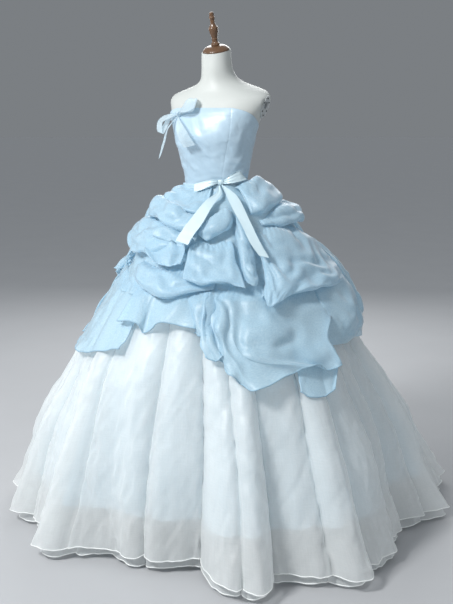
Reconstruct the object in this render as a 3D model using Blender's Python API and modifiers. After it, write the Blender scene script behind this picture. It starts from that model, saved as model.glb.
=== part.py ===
"""Strapless pick-up ball gown standing on a limbless dress form.

Frame: metres, +Z up, origin on the floor under the form's pole. The gown faces -Y and the
wearer's left is +X. Angles are in degrees round the pole, 0 at the front, growing towards +X.
"""
import math

import bmesh
import bpy
import numpy as np
from mathutils import Vector
from mathutils.bvhtree import BVHTree

# ---- Driving dimensions -----------------------------------------------------------------------
WAIST_Z = 1.205          # height of the waist seam
WALL = 0.001             # thickness of every cloth solid
SEAM_GAP = 0.0003        # space between two pieces that are sewn together
LAYER_STEP = 0.0018      # from one layer's middle to the next at the waist
BODY_GAP = 0.0008        # space between the form and the bodice
HALF_CUT = 0.177         # the form's armhole faces stand this far from its middle

BASE_RADIUS = 0.19
BASE_HEIGHT = 0.020
POLE_RADIUS = 0.016
TORSO_BOTTOM_Z = WAIST_Z - 0.30
TORSO_TOP_Z = WAIST_Z + 0.455
CAP_RADIUS = 0.047
CAP_HEIGHT = 0.019
CAP_FLAT_RADIUS = 0.020
NECK_LEAN = math.radians(15)     # the neck's top face tips forward
PLATE_SIZE = (0.039, 0.024)       # half height and half width of the oval armhole plates
PLATE_Y = 0.026
PLATE_HEIGHT_Z = WAIST_Z + 0.267
ARMHOLE_TILT = math.radians(18)    # the armhole faces look down a little

LINING_HEM_Z = 0.165
INNER_HEM_Z = 0.014
OUTER_HEM_Z = 0.045
CORE_HEM_Z = 0.86
TACK_GAP = 0.0013        # from the base to the middle of a billow's tacked edge
TACK_REACH = 0.03        # top edges nearer than this to the base are tacked to it
BILLOW_COLUMN = 7        # degrees of each column of a billow's sheet

# The bodice's seams on the wearer's left: angle at the waist and at the top edge.
FRONT_SEAM = (40, 52)
SIDE_SEAM = (90, 92)
BACK_SEAM = (140, 140)
CLOSING = (180, 180)

STEPS_ROUND = 60         # samples round each skirt layer
LAYER_HEIGHTS = (WAIST_Z + 0.002, 1.182, 1.15, 1.07, 0.93, 0.74, 0.48)

# The form: height over the waist, half width, depth in front, depth behind, how far back the shoulders lie.
BODY = (
    (-0.30, 0.146, 0.086, 0.100, 0.0),
    (-0.20, 0.163, 0.103, 0.122, 0.0),
    (-0.10, 0.143, 0.095, 0.104, 0.0),
    (0.00, 0.112, 0.083, 0.082, 0.0),
    (0.09, 0.124, 0.098, 0.088, 0.0),
    (0.17, 0.141, 0.121, 0.096, 0.0),
    (0.205, 0.154, 0.114, 0.100, 0.0),
    (0.24, 0.168, 0.102, 0.105, 0.006),
    (0.263, 0.181, 0.090, 0.105, 0.016),
    (0.286, 0.191, 0.078, 0.099, 0.024),
    (0.30, 0.190, 0.070, 0.096, 0.028),
    (0.314, 0.177, 0.060, 0.090, 0.037),
    (0.327, 0.150, 0.055, 0.084, 0.054),
    (0.341, 0.106, 0.052, 0.079, 0.056),
    (0.353, 0.078, 0.050, 0.073, 0.040),
    (0.368, 0.062, 0.049, 0.068, 0.022),
    (0.393, 0.053, 0.049, 0.057, 0.008),
    (0.425, 0.050, 0.048, 0.051, 0.002),
    (0.455, 0.0485, 0.048, 0.0485, 0.0),
)

# The petticoat's dome: height, radius in front, extra radius behind, drawn in at the wearer's right.
DOME = (
    (0.00, 0.652, 0.28, 0.0),
    (0.05, 0.645, 0.26, 0.0),
    (0.22, 0.610, 0.19, 0.0),
    (0.35, 0.577, 0.165, 0.0),
    (0.45, 0.547, 0.125, 0.010),
    (0.52, 0.526, 0.093, 0.023),
    (0.60, 0.497, 0.06, 0.028),
    (0.70, 0.445, 0.05, 0.026),
    (0.80, 0.388, 0.07, 0.026),
    (0.88, 0.337, 0.079, 0.033),
    (0.94, 0.300, 0.076, 0.050),
    (1.00, 0.262, 0.06, 0.036),
    (1.06, 0.225, 0.042, 0.018),
    (1.10, 0.200, 0.03, 0.008),
    (1.16, 0.157, 0.01, 0.0),
    (1.19, 0.127, 0.00, 0.0),
    (1.25, 0.115, 0.00, 0.0),
)

# Organ folds of the white skirts at the hem: angle of each crest or valley, and its offset.
HEM_FOLDS = (
    (-170, 0.07), (-157, -0.07), (-143, 0.08), (-131, -0.06), (-118, 0.06), (-106, -0.07), (-95, 0.05),
    (-83, -0.05), (-70, 0.05), (-61, -0.03), (-51, 0.05), (-43, 0.01), (-36, -0.03), (-21, 0.09),
    (-7, -0.10), (5, -0.04), (20, -0.12), (38, 0.13), (49, -0.02), (63, 0.10), (80, -0.02), (99, -0.12),
    (112, 0.00), (119, -0.07), (135, 0.06), (148, -0.06), (162, 0.07), (175, -0.05),
)

# The picked-up billows. Each row runs from the wearer's right to left as (degrees, height, out),
# where out is the distance outside the petticoat's dome; rows run from top to bottom.
BILLOWS = {
    "waist_gather": (
        ((-64, 1.198, -0.004), (-36, 1.198, -0.018), (-12, 1.198, -0.027), (2, 1.198, -0.027),
         (22, 1.198, -0.023)),
        ((-66, 1.187, 0.02), (-42, 1.184, 0.014), (-14, 1.166, -0.0175), (2, 1.158, -0.0145),
         (20, 1.156, -0.012)),
        ((-66, 1.17, 0.0218), (-42, 1.168, 0.0279), (-16, 1.148, 0.024), (2, 1.138, 0.02),
         (19, 1.13, 0.02)),
        ((-62, 1.16, 0.012), (-38, 1.154, 0.0121), (-16, 1.136, 0.013), (2, 1.125, 0.013),
         (18, 1.112, 0.013)),
    ),
    "billow_left_top": (
        ((-64, 1.15, 0.01), (-32, 1.142, 0.01), (-6, 1.112, 0.01), (16, 1.098, 0.01)),
        ((-67, 1.152, 0.0284), (-48, 1.156, 0.0361), (-9, 1.14, 0.04), (15, 1.108, 0.032)),
        ((-68, 1.12, 0.0395), (-46, 1.13, 0.0453), (-10, 1.118, 0.052), (13, 1.085, 0.042)),
        ((-67, 1.098, 0.0372), (-40, 1.104, 0.0429), (-13, 1.094, 0.0466), (11, 1.06, 0.036)),
        ((-64, 1.102, 0.0201), (-38, 1.098, 0.0212), (-16, 1.092, 0.0189), (9, 1.062, 0.015)),
    ),
    "billow_left_ear": (
        ((-66, 1.086, 0.01), (-34, 1.082, 0.01), (-14, 1.074, 0.01), (12, 1.04, 0.01)),
        ((-68, 1.078, 0.04), (-52, 1.08, 0.0404), (-18, 1.078, 0.0398), (12, 1.038, 0.026)),
        ((-69, 1.04, 0.0575), (-56, 1.038, 0.0594), (-20, 1.048, 0.051), (10, 1.018, 0.03)),
        ((-68, 1.006, 0.0636), (-46, 1.005, 0.058), (-20, 1.008, 0.048), (6, 0.999, 0.03)),
        ((-66, 0.99, 0.0583), (-34, 0.985, 0.0426), (-18, 0.986, 0.0378), (2, 0.988, 0.024)),
        ((-64, 1, 0.0511), (-34, 0.995, 0.0327), (-20, 0.993, 0.0234), (0, 0.996, 0.017)),
    ),
    "petal_left": (
        ((-10, 0.97, 0.012), (-2, 0.964, 0.012), (5, 0.964, 0.012), (9, 0.97, 0.012)),
        ((-10, 0.967, 0.0412), (-2, 0.962, 0.0418), (5, 0.962, 0.042), (9.5, 0.968, 0.038)),
        ((-9, 0.973, 0.0629), (-1.5, 0.959, 0.0658), (5, 0.959, 0.067), (9.5, 0.968, 0.058)),
        ((-16, 1, 0.0707), (-6.5, 0.986, 0.0605), (2, 0.994, 0.062), (10, 0.99, 0.058)),
        ((-22, 1.03, 0.0701), (-10.5, 1.015, 0.0571), (-1, 1.006, 0.052), (9.5, 1.008, 0.05)),
        ((-26, 1.055, 0.0663), (-14, 1.045, 0.0578), (-2, 1.035, 0.0483), (8.5, 1.03, 0.044)),
    ),
    "swag_left": (
        ((-25.5, 0.958, 0.012), (-15.5, 0.952, 0.012), (0, 0.944, 0.012), (15, 0.944, 0.012),
         (28, 0.938, 0.012)),
        ((-25, 0.942, 0.0346), (-14, 0.942, 0.0406), (2.5, 0.926, 0.042), (15.5, 0.926, 0.034),
         (29, 0.921, 0.024)),
        ((-22, 0.915, 0.0404), (-9.5, 0.908, 0.0514), (3.5, 0.896, 0.058), (15.5, 0.904, 0.046),
         (29, 0.905, 0.03)),
        ((-16, 0.893, 0.0353), (-5, 0.878, 0.049), (5, 0.868, 0.056), (16, 0.887, 0.044),
         (28, 0.891, 0.03)),
        ((-17, 0.903, 0.0198), (-8.5, 0.893, 0.0213), (2, 0.883, 0.024), (14.5, 0.899, 0.02),
         (27.5, 0.904, 0.016)),
    ),
    "swag_centre": (
        ((12.5, 1.022, 0.04), (20, 1.034, 0.026), (29, 1.026, 0.014), (41, 1.05, 0.014)),
        ((13, 1, 0.054), (22, 0.99, 0.038), (32, 0.985, 0.04), (41, 1.015, 0.036)),
        ((13.5, 0.965, 0.07), (23, 0.955, 0.052), (33, 0.955, 0.06), (42, 0.965, 0.054)),
        ((14, 0.93, 0.082), (23, 0.915, 0.07), (33.5, 0.92, 0.074), (43, 0.905, 0.084)),
        ((14, 0.942, 0.064), (23, 0.928, 0.052), (34, 0.933, 0.056), (42.5, 0.918, 0.062)),
    ),
    "loop_centre": (
        ((17, 1.075, 0.014), (27, 1.105, 0.014), (39, 1.136, 0.014), (45, 1.12, 0.014)),
        ((16.5, 1.062, 0.028), (25.5, 1.092, 0.04), (39, 1.134, 0.034), (44, 1.112, 0.028)),
        ((18.5, 1.055, 0.038), (26.5, 1.075, 0.054), (36, 1.085, 0.052), (43, 1.095, 0.034)),
        ((24, 1.041, 0.04), (27, 1.056, 0.046), (34.5, 1.066, 0.04), (42, 1.081, 0.028)),
        ((23.5, 1.051, 0.022), (27.5, 1.066, 0.024), (35, 1.075, 0.022), (42, 1.086, 0.018)),
    ),
    "fold_centre": (
        ((47.5, 1.112, 0.014), (49.5, 1.118, 0.034), (52.5, 1.1, 0.032), (55, 1.08, 0.014)),
        ((45.5, 1.07, 0.03), (47.5, 1.07, 0.048), (50.5, 1.056, 0.046), (54, 1.038, 0.02)),
        ((44.5, 1.01, 0.038), (46.5, 1.005, 0.056), (49.5, 0.996, 0.05), (53, 0.985, 0.022)),
        ((44.8, 0.955, 0.044), (46.5, 0.952, 0.062), (49, 0.94, 0.056), (52, 0.932, 0.03)),
        ((45.5, 0.918, 0.05), (47, 0.908, 0.066), (49, 0.905, 0.062), (51, 0.91, 0.04)),
    ),
    "swag_right": (
        ((62, 1.072, 0.014), (80, 1.072, 0.014), (98, 1.066, 0.014), (112, 1.066, 0.014)),
        ((59.5, 1.043, 0.034), (72, 1.04, 0.046), (92, 1.028, 0.052), (113, 1.02, 0.048)),
        ((57.5, 0.975, 0.044), (66, 0.97, 0.064), (87, 0.96, 0.06), (113, 0.95, 0.062)),
        ((55, 0.918, 0.056), (60, 0.91, 0.076), (75, 0.92, 0.074), (94, 0.912, 0.076),
         (111, 0.905, 0.07)),
        ((51.5, 0.882, 0.074), (53, 0.852, 0.092), (64, 0.884, 0.084), (86.5, 0.888, 0.08),
         (108, 0.882, 0.074)),
        ((53, 0.89, 0.042), (56, 0.87, 0.046), (69, 0.893, 0.042), (90, 0.894, 0.044),
         (106, 0.894, 0.04)),
    ),
    "billow_right_top": (
        ((60, 1.198, -0.012), (92, 1.198, -0.004), (124, 1.198, -0.01), (150, 1.198, -0.024)),
        ((64, 1.196, 0.022), (92, 1.222, 0.034), (120, 1.228, 0.04), (152, 1.214, 0.034)),
        ((63, 1.165, 0.036), (80, 1.172, 0.05), (119, 1.188, 0.064), (153, 1.18, 0.056)),
        ((63, 1.13, 0.034), (76, 1.136, 0.05), (118, 1.158, 0.058), (152, 1.152, 0.05)),
        ((64, 1.113, 0.016), (82, 1.117, 0.02), (117, 1.147, 0.024), (150, 1.142, 0.02)),
    ),
    "billow_right_ear": (
        ((69, 1.1, 0.012), (90, 1.105, 0.012), (112, 1.13, 0.012), (146, 1.126, 0.012)),
        ((70, 1.094, 0.022), (93, 1.122, 0.044), (118, 1.138, 0.066), (149, 1.132, 0.052)),
        ((70, 1.086, 0.026), (97, 1.106, 0.056), (119, 1.112, 0.084), (151, 1.104, 0.064)),
        ((71, 1.081, 0.022), (96, 1.083, 0.048), (119, 1.082, 0.064), (150, 1.078, 0.054)),
        ((73, 1.085, 0.015), (104, 1.086, 0.022), (117, 1.092, 0.026), (148, 1.09, 0.022)),
    ),
    "billow_right_low": (
        ((118, 1.048, 0.012), (138, 1.036, 0.012), (158, 1.031, 0.012)),
        ((117.5, 0.985, 0.056), (138, 0.982, 0.054), (160, 0.978, 0.05)),
        ((117, 0.905, 0.07), (138, 0.9, 0.074), (161, 0.9, 0.07)),
        ((112, 0.83, 0.066), (120.5, 0.81, 0.068), (137, 0.815, 0.072), (160, 0.812, 0.066)),
        ((95, 0.775, 0.06), (110, 0.752, 0.062), (134, 0.742, 0.054), (156, 0.74, 0.05)),
        ((89, 0.715, 0.048), (104, 0.692, 0.05), (132, 0.688, 0.036), (154, 0.69, 0.03)),
    ),
    "drape_right": (
        ((24, 0.872, 0.012), (27, 0.875, 0.012), (30, 0.876, 0.012), (38.5, 0.873, 0.012),
         (50, 0.868, 0.012), (67.5, 0.872, 0.012), (90, 0.87, 0.012)),
        ((22.8, 0.838, 0.024), (25, 0.842, 0.048), (27.3, 0.838, 0.026), (31, 0.848, 0.044),
         (38, 0.85, 0.034), (48, 0.82, 0.052), (62, 0.832, 0.046), (85, 0.815, 0.062)),
        ((23.6, 0.785, 0.028), (25.8, 0.788, 0.052), (28, 0.784, 0.03), (31, 0.786, 0.058),
         (37.5, 0.785, 0.04), (45.5, 0.765, 0.066), (61, 0.765, 0.046), (76, 0.745, 0.066)),
        ((25.2, 0.735, 0.034), (27.2, 0.735, 0.056), (29.5, 0.735, 0.036), (34, 0.738, 0.058),
         (38, 0.72, 0.046), (45, 0.7, 0.068), (59.5, 0.705, 0.05), (74, 0.705, 0.078)),
        ((27, 0.697, 0.04), (30, 0.691, 0.056), (32.5, 0.697, 0.044), (34.5, 0.648, 0.06),
         (38, 0.628, 0.054), (43, 0.61, 0.074), (58, 0.65, 0.056), (66, 0.655, 0.062),
         (70, 0.642, 0.068), (75, 0.652, 0.084)),
    ),
    "flare_right": (
        ((61, 0.66, 0.025), (68, 0.66, 0.025), (73, 0.645, 0.025), (78, 0.65, 0.025)),
        ((59.5, 0.625, 0.034), (65, 0.612, 0.032), (70, 0.607, 0.038), (75, 0.616, 0.048)),
        ((58.5, 0.585, 0.044), (62, 0.566, 0.046), (66.5, 0.566, 0.048), (71, 0.582, 0.058)),
    ),
    "flounce_left": (
        ((-18, 0.87, 0.01), (-10, 0.87, 0.01), (-3, 0.868, 0.01), (9, 0.876, 0.01),
         (20.5, 0.878, 0.01)),
        ((-17, 0.838, 0.0289), (-8, 0.838, 0.0351), (-4, 0.832, 0.0126), (9.5, 0.842, 0.032),
         (20.5, 0.848, 0.022)),
        ((-17, 0.806, 0.0383), (-6, 0.808, 0.0424), (-3.5, 0.785, 0.012), (8, 0.818, 0.04),
         (21, 0.815, 0.026)),
        ((-17, 0.776, 0.0461), (-5, 0.782, 0.0501), (-3, 0.748, 0.014), (7.5, 0.792, 0.048),
         (21, 0.776, 0.03)),
    ),
    "panel_left": (
        ((-66, 0.918, 0.012), (-52, 0.915, 0.012), (-36, 0.905, 0.012), (-22, 0.893, 0.012)),
        ((-69, 0.866, 0.013), (-54, 0.865, 0.014), (-36, 0.842, 0.02), (-20, 0.842, 0.014)),
        ((-74, 0.78, 0.013), (-56, 0.765, 0.014), (-35, 0.742, 0.024), (-15, 0.765, 0.022)),
        ((-76, 0.705, 0.016), (-58, 0.69, 0.018), (-37, 0.672, 0.034), (-12, 0.715, 0.034)),
        ((-76, 0.672, 0.02), (-58, 0.655, 0.026), (-38, 0.645, 0.042), (-11, 0.695, 0.042)),
    ),
    "swag_back_right_top": (
        ((157, 1.17, 0.012), (190, 1.17, 0.012), (222, 1.165, 0.012)),
        ((158, 1.14, 0.045), (190, 1.13, 0.06), (223, 1.135, 0.05)),
        ((159, 1.09, 0.06), (190, 1.06, 0.08), (223, 1.08, 0.06)),
        ((160, 1.06, 0.05), (190, 1.02, 0.065), (221, 1.05, 0.05)),
        ((161, 1.072, 0.022), (190, 1.035, 0.025), (220, 1.062, 0.022)),
    ),
    "swag_back_left_top": (
        ((228, 1.165, 0.012), (260, 1.17, 0.012), (286, 1.165, 0.012)),
        ((227, 1.135, 0.05), (260, 1.13, 0.06), (287, 1.14, 0.045)),
        ((227, 1.08, 0.06), (260, 1.06, 0.075), (287, 1.08, 0.05)),
        ((229, 1.05, 0.05), (260, 1.02, 0.06), (286, 1.05, 0.042)),
        ((230, 1.062, 0.022), (260, 1.035, 0.025), (285, 1.062, 0.022)),
    ),
    "swag_back_right_low": (
        ((166, 1.01, 0.012), (190, 0.99, 0.012), (221, 1.005, 0.012)),
        ((166, 0.97, 0.05), (191, 0.94, 0.06), (223, 0.965, 0.05)),
        ((165, 0.91, 0.07), (192, 0.87, 0.085), (224, 0.9, 0.07)),
        ((166, 0.88, 0.055), (192, 0.83, 0.07), (222, 0.87, 0.055)),
        ((168, 0.892, 0.025), (192, 0.845, 0.028), (220, 0.882, 0.025)),
    ),
    "swag_back_left_low": (
        ((229, 1.005, 0.012), (258, 0.99, 0.012), (286, 0.97, 0.012)),
        ((228, 0.965, 0.05), (258, 0.94, 0.06), (287, 0.945, 0.04)),
        ((227, 0.9, 0.07), (258, 0.87, 0.08), (287, 0.9, 0.05)),
        ((229, 0.87, 0.055), (258, 0.83, 0.065), (286, 0.875, 0.045)),
        ((231, 0.882, 0.025), (258, 0.845, 0.028), (284, 0.887, 0.024)),
    ),
    "panel_back": (
        ((167, 0.815, 0.014), (195, 0.8, 0.014), (225, 0.83, 0.014), (255, 0.8, 0.014),
         (282, 0.84, 0.014)),
        ((164, 0.74, 0.035), (194, 0.735, 0.04), (225, 0.75, 0.03), (256, 0.74, 0.04),
         (283, 0.77, 0.025)),
        ((161, 0.68, 0.04), (193, 0.66, 0.06), (225, 0.69, 0.03), (257, 0.665, 0.055),
         (283, 0.69, 0.03)),
        ((161, 0.64, 0.045), (192, 0.61, 0.07), (225, 0.65, 0.035), (258, 0.615, 0.065),
         (283, 0.65, 0.034)),
    ),
}

# The bows. A ribbon's rows run along it; each holds its two edges. Loops and the sheer tails are
# given as (degrees, height, distance outside the form), the satin tails as (degrees, height, radius).
WAIST_KNOT = (38, 1.2175, 0.0102)
WAIST_LOOPS = {
    "bow_loop_left": (
        ((33.2, 1.222, 0.011), (33.2, 1.213, 0.011)),
        ((20, 1.228, 0.02), (18, 1.2, 0.03)),
        ((-2, 1.222, 0.024), (2, 1.184, 0.042)),
        ((-17, 1.214, 0.018), (-9, 1.174, 0.038)),
    ),
    "bow_loop_right": (
        ((42.1, 1.222, 0.0115), (42.1, 1.213, 0.0115)),
        ((54, 1.243, 0.0179), (58, 1.214, 0.022)),
        ((66, 1.257, 0.0178), (78, 1.219, 0.024)),
        ((70, 1.258, 0.0098), (86, 1.224, 0.0179)),
    ),
}
WAIST_TAILS = {
    "bow_tail_left": (
        ((34, 1.2090, .1065), (37.8, 1.2090, .1065)),
        ((30, 1.185, .148), (37, 1.182, .148)),
        ((19, 1.160, .206), (27, 1.150, .215)),
        ((11, 1.105, .270), (21, 1.100, .274)),
        ((7, 1.062, .310), (16, 1.058, .312)),
        ((6, 1.043, .326), (14, 1.031, .334)),
    ),
    "bow_tail_right": (
        ((38.2, 1.2090, .1065), (42, 1.2090, .1065)),
        ((40, 1.195, .148), (48, 1.197, .148)),
        ((43, 1.150, .216), (53, 1.168, .198)),
        ((47, 1.090, .284), (54, 1.100, .276)),
        ((49, 1.038, .338), (55, 1.039, .338)),
        ((52, 1.000, .370), (57, 0.991, .378)),
    ),
}
SHOULDER_KNOT = (-44, 1.4475, 0.0104)
SHOULDER_BOW = {
    "sheer_loop_up": (
        ((-41.5, 1.453, 0.0121), (-41.5, 1.443, 0.0104)),
        ((-33, 1.488, 0.0265), (-29, 1.452, 0.0326)),
        ((-22, 1.5, 0.0326), (-15, 1.455, 0.0396)),
        ((-6, 1.492, 0.034), (-5, 1.466, 0.0384)),
    ),
    "sheer_loop_side": (
        ((-46.5, 1.453, 0.0106), (-46.5, 1.443, 0.0089)),
        ((-58, 1.44, 0.0391), (-54, 1.426, 0.0354)),
        ((-65, 1.415, 0.0571), (-59, 1.415, 0.0421)),
        ((-62, 1.385, 0.0597), (-58, 1.379, 0.0443)),
    ),
    "sheer_tail_left": (
        ((-46.5, 1.437, 0.0082), (-44.1, 1.437, 0.009)),
        ((-55, 1.4, 0.0265), (-48, 1.396, 0.0316)),
        ((-61, 1.345, 0.055), (-55, 1.345, 0.0484)),
        ((-62, 1.292, 0.0816), (-60, 1.301, 0.0747)),
    ),
    "sheer_tail_right": (
        ((-43.9, 1.437, 0.009), (-41, 1.437, 0.0099)),
        ((-33, 1.405, 0.0277), (-23, 1.42, 0.0319)),
        ((-25, 1.365, 0.0303), (-9, 1.386, 0.034)),
        ((-18, 1.334, 0.0318), (1, 1.345, 0.0314)),
    ),
}

# Colours as (red, green, blue) in linear light, roughness, metallic.
FINISHES = {
    "form_white": ((0.80, 0.82, 0.80), 0.45, 0.0),
    "stand_white": ((0.75, 0.76, 0.75), 0.40, 0.0),
    "wood": ((0.10, 0.05, 0.025), 0.45, 0.0),
    "plate_metal": ((0.62, 0.63, 0.62), 0.35, 0.6),
    "satin_blue": ((0.40, 0.57, 0.71), 0.38, 0.0),
    "satin_lining": ((0.45, 0.62, 0.75), 0.42, 0.0),
    "organza_white": ((0.74, 0.80, 0.83), 0.50, 0.0),
    "organza_blue": ((0.36, 0.55, 0.70), 0.50, 0.0),
    "ribbon_pale": ((0.66, 0.80, 0.86), 0.30, 0.0),
    "ribbon_sheer": ((0.55, 0.72, 0.80), 0.45, 0.0),
}


# ---- Helpers ----------------------------------------------------------------------------------
def clear_scene():
    for obj in list(bpy.data.objects):
        bpy.data.objects.remove(obj, do_unlink=True)


def make_collection(name):
    group = bpy.data.collections.new(name)
    bpy.context.scene.collection.children.link(group)
    return group


def finish(name):
    """Return the named Principled material, made on its first use."""
    material = bpy.data.materials.get(name)
    if material is None:
        colour, roughness, metallic = FINISHES[name]
        material = bpy.data.materials.new(name)
        material.use_nodes = True
        shader = material.node_tree.nodes["Principled BSDF"]
        shader.inputs["Base Color"].default_value = (*colour, 1.0)
        shader.inputs["Roughness"].default_value = roughness
        shader.inputs["Metallic"].default_value = metallic
    return material


def put(obj, name, material, smooth=True):
    """Name an object, give it its finish and move it into the gown's collection."""
    obj.name = name
    obj.data.name = name
    obj.data.materials.clear()
    obj.data.materials.append(finish(material))
    for holder in list(obj.users_collection):
        holder.objects.unlink(obj)
    GOWN.objects.link(obj)
    if smooth:
        obj.data.shade_smooth()
    return obj


def mesh_object(name, vertices, faces, material):
    mesh = bpy.data.meshes.new(name)
    mesh.from_pydata([tuple(v) for v in vertices], [], faces)
    mesh.update()
    obj = bpy.data.objects.new(name, mesh)
    GOWN.objects.link(obj)
    return put(obj, name, material)


def cloth(name, grid, material, wall=WALL):
    """A sheet through a grid of points, given its thickness about its own middle."""
    rows, columns = grid.shape[:2]
    faces = []
    for i in range(rows - 1):
        for j in range(columns - 1):
            a = i * columns + j
            faces.append((a, a + 1, a + columns + 1, a + columns))
    obj = mesh_object(name, grid.reshape(-1, 3), faces, material)
    thick = obj.modifiers.new("Thickness", "SOLIDIFY")
    thick.thickness = wall
    thick.offset = 0.0
    thick.use_quality_normals = True
    return obj


def smooth_table(table, height):
    """Read a table of (height, value, ...) rows with a smooth curve through its rows."""
    keys = np.array([row[0] for row in table])
    values = np.array([row[1:] for row in table])
    slopes = np.gradient(values, keys, axis=0)
    k = int(np.clip(np.searchsorted(keys, height) - 1, 0, len(keys) - 2))
    span = keys[k + 1] - keys[k]
    t = float(np.clip((height - keys[k]) / span, 0.0, 1.0))
    a = 2 * t**3 - 3 * t**2 + 1
    b = t**3 - 2 * t**2 + t
    c = t**3 - t**2
    return (a * values[k] + (1 - a) * values[k + 1]
            + span * (b * slopes[k] + c * slopes[k + 1]))


def polar(degrees, radius, height):
    angle = math.radians(degrees)
    return (radius * math.sin(angle), -radius * math.cos(angle), height)


def body_radius(degrees, height, out=0.0):
    """The form's outline at a height, as a rounded oval with a fuller front."""
    width, front, back, _ = smooth_table(BODY, height - WAIST_Z)
    angle = math.radians(degrees)
    depth = front if math.cos(angle) > 0 else back
    power = 2.3
    across = abs(math.sin(angle) / (width + out)) ** power
    along = abs(math.cos(angle) / (depth + out)) ** power
    return (across + along) ** (-1 / power)


def dome_radius(degrees, height):
    front, back, right = smooth_table(DOME, height)
    angle = math.radians(degrees)
    return front + back * (1 - math.cos(angle)) / 2 - right * max(0.0, -math.sin(angle)) ** 2


def hem_fold(degrees):
    """Offset of the organ folds at the hem, a smooth wave through the crests and valleys."""
    angles = [row[0] for row in HEM_FOLDS]
    offsets = [row[1] for row in HEM_FOLDS]
    angles = [angles[-1] - 360] + angles + [angles[0] + 360]
    offsets = [offsets[-1]] + offsets + [offsets[0]]
    turned = (degrees + 180) % 360 - 180
    k = int(np.clip(np.searchsorted(angles, turned) - 1, 0, len(angles) - 2))
    t = (turned - angles[k]) / (angles[k + 1] - angles[k])
    ease = (1 - math.cos(math.pi * t)) / 2
    return offsets[k] + (offsets[k + 1] - offsets[k]) * ease


def skirt_radius(degrees, height, inset):
    """A white skirt: narrow at the waist, on the dome below, with folds that open towards the hem.

    Each inner layer is drawn in by inset and by part of each crest, so that it never meets the next.
    """
    drop = float(np.clip((WAIST_Z - height) / WAIST_Z, 0, 1))
    fold = hem_fold(degrees) * float(np.clip((drop - 0.25) / 0.75, 0, 1)) ** 1.3
    tuck = inset * min(1.0, drop / 0.08)
    return dome_radius(degrees, height) + fold - tuck - 12 * tuck * max(fold, 0.0)


def seam_radius(degrees, height, level):
    """Where a layer is stitched at the waist: level 0 is the bodice, later ones lie outside it."""
    return body_radius(degrees, height) + BODY_GAP + WALL / 2 + level * LAYER_STEP


def waist_blend(degrees, height, level, radius):
    """Draw a layer in to its own seam at the waist."""
    t = float(np.clip((WAIST_Z - 0.006 - height) / 0.07, 0, 1))
    ease = t * t * (3 - 2 * t)
    seam = seam_radius(degrees, height, level)
    return seam + (radius - seam) * ease


def base_radius(degrees, height):
    """The overskirt's base."""
    return waist_blend(degrees, height, 4, dome_radius(degrees, height) + 0.008)


def gore_angles(start, end, step):
    """Sample angles of one gore, drawn back a little from the seams at both ends."""
    count = round((end - start) / step)
    return [start + step * k for k in range(count + 1)]


def close_seams(grid):
    """Pull the two side edges of a gore in by half a seam gap."""
    for edge, inner in ((0, 1), (-1, -2)):
        along = grid[:, inner] - grid[:, edge]
        length = np.linalg.norm(along, axis=1, keepdims=True)
        grid[:, edge] += along / length * SEAM_GAP
    return grid


def spline(points, count):
    """Sample a smooth curve through control points (Catmull-Rom, with straight ends)."""
    points = np.asarray(points, dtype=float)
    padded = np.concatenate([[2 * points[0] - points[1]], points, [2 * points[-1] - points[-2]]])
    samples = []
    for s in np.linspace(0, len(points) - 1, count):
        k = min(int(s), len(points) - 2)
        t = s - k
        p0, p1, p2, p3 = padded[k:k + 4]
        samples.append(0.5 * (2 * p1 + (p2 - p0) * t + (2 * p0 - 5 * p1 + 4 * p2 - p3) * t**2
                              + (3 * p1 - p0 - 3 * p2 + p3) * t**3))
    return np.array(samples)


def sheet_through(cage, rows, columns):
    """A grid of points on a smooth sheet through a cage of control points."""
    across = np.array([spline(row, columns) for row in cage])
    return np.stack([spline(across[:, j], rows) for j in range(columns)], axis=1)


def on_dome(row):
    return [polar(deg, dome_radius(deg, z) + out, z) for deg, z, out in row]


def on_body(row):
    return [polar(deg, body_radius(deg, z) + out, z) for deg, z, out in row]


def solid_tree(names):
    """A search tree of the named solids' faces, as they stand with their modifiers."""
    bpy.context.view_layer.update()
    depsgraph = bpy.context.evaluated_depsgraph_get()
    joined = bmesh.new()
    for name in names:
        joined.from_object(bpy.data.objects[name], depsgraph)
    tree = BVHTree.FromBMesh(joined)
    joined.free()
    return tree


def surface_distance(point, tree):
    """Distance from the pole to the cloth below, in the direction and at the height of a point."""
    outward = Vector((point[0], point[1], 0.0)).normalized()
    start = Vector((0.0, 0.0, point[2])) + outward * 1.5
    return (tree.ray_cast(start, -outward)[0] - Vector((0.0, 0.0, point[2]))).length


def set_radius(point, radius):
    point[:2] *= radius / math.hypot(point[0], point[1])


def tack(grid, tree):
    """Lay a sheet's top edge on the cloth below, where it is near, clear of it all along."""
    edge = grid[0]
    near = []
    for point in edge:
        target = surface_distance(point, tree) + TACK_GAP
        near.append(math.hypot(point[0], point[1]) - target < TACK_REACH)
        if near[-1]:
            set_radius(point, target)
    lift = np.zeros(len(edge))
    for k in range(len(edge) - 1):
        for t in (0.25, 0.5, 0.75):
            between = edge[k] * (1 - t) + edge[k + 1] * t
            short = surface_distance(between, tree) + TACK_GAP - math.hypot(between[0], between[1])
            lift[k:k + 2] = np.maximum(lift[k:k + 2], short)
    for k, point in enumerate(edge):
        if near[k]:
            set_radius(point, math.hypot(point[0], point[1]) + lift[k])
    return grid


# ---- The form and its stand -------------------------------------------------------------------
def ring(degrees_list, height):
    """One outline of the form: shoulders set back, and the neck's top tipped forward with the cap."""
    lean = float(np.clip((height - TORSO_TOP_Z + 0.05) / 0.05, 0, 1)) * math.tan(NECK_LEAN)
    width, _, _, set_back = smooth_table(BODY, height - WAIST_Z)
    points = [polar(deg, body_radius(deg, height), height) for deg in degrees_list]
    points = [(x, y + set_back * (x / width) ** 2, z) for x, y, z in points]
    return [(x, y, z + y * lean) for x, y, z in points]


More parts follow.
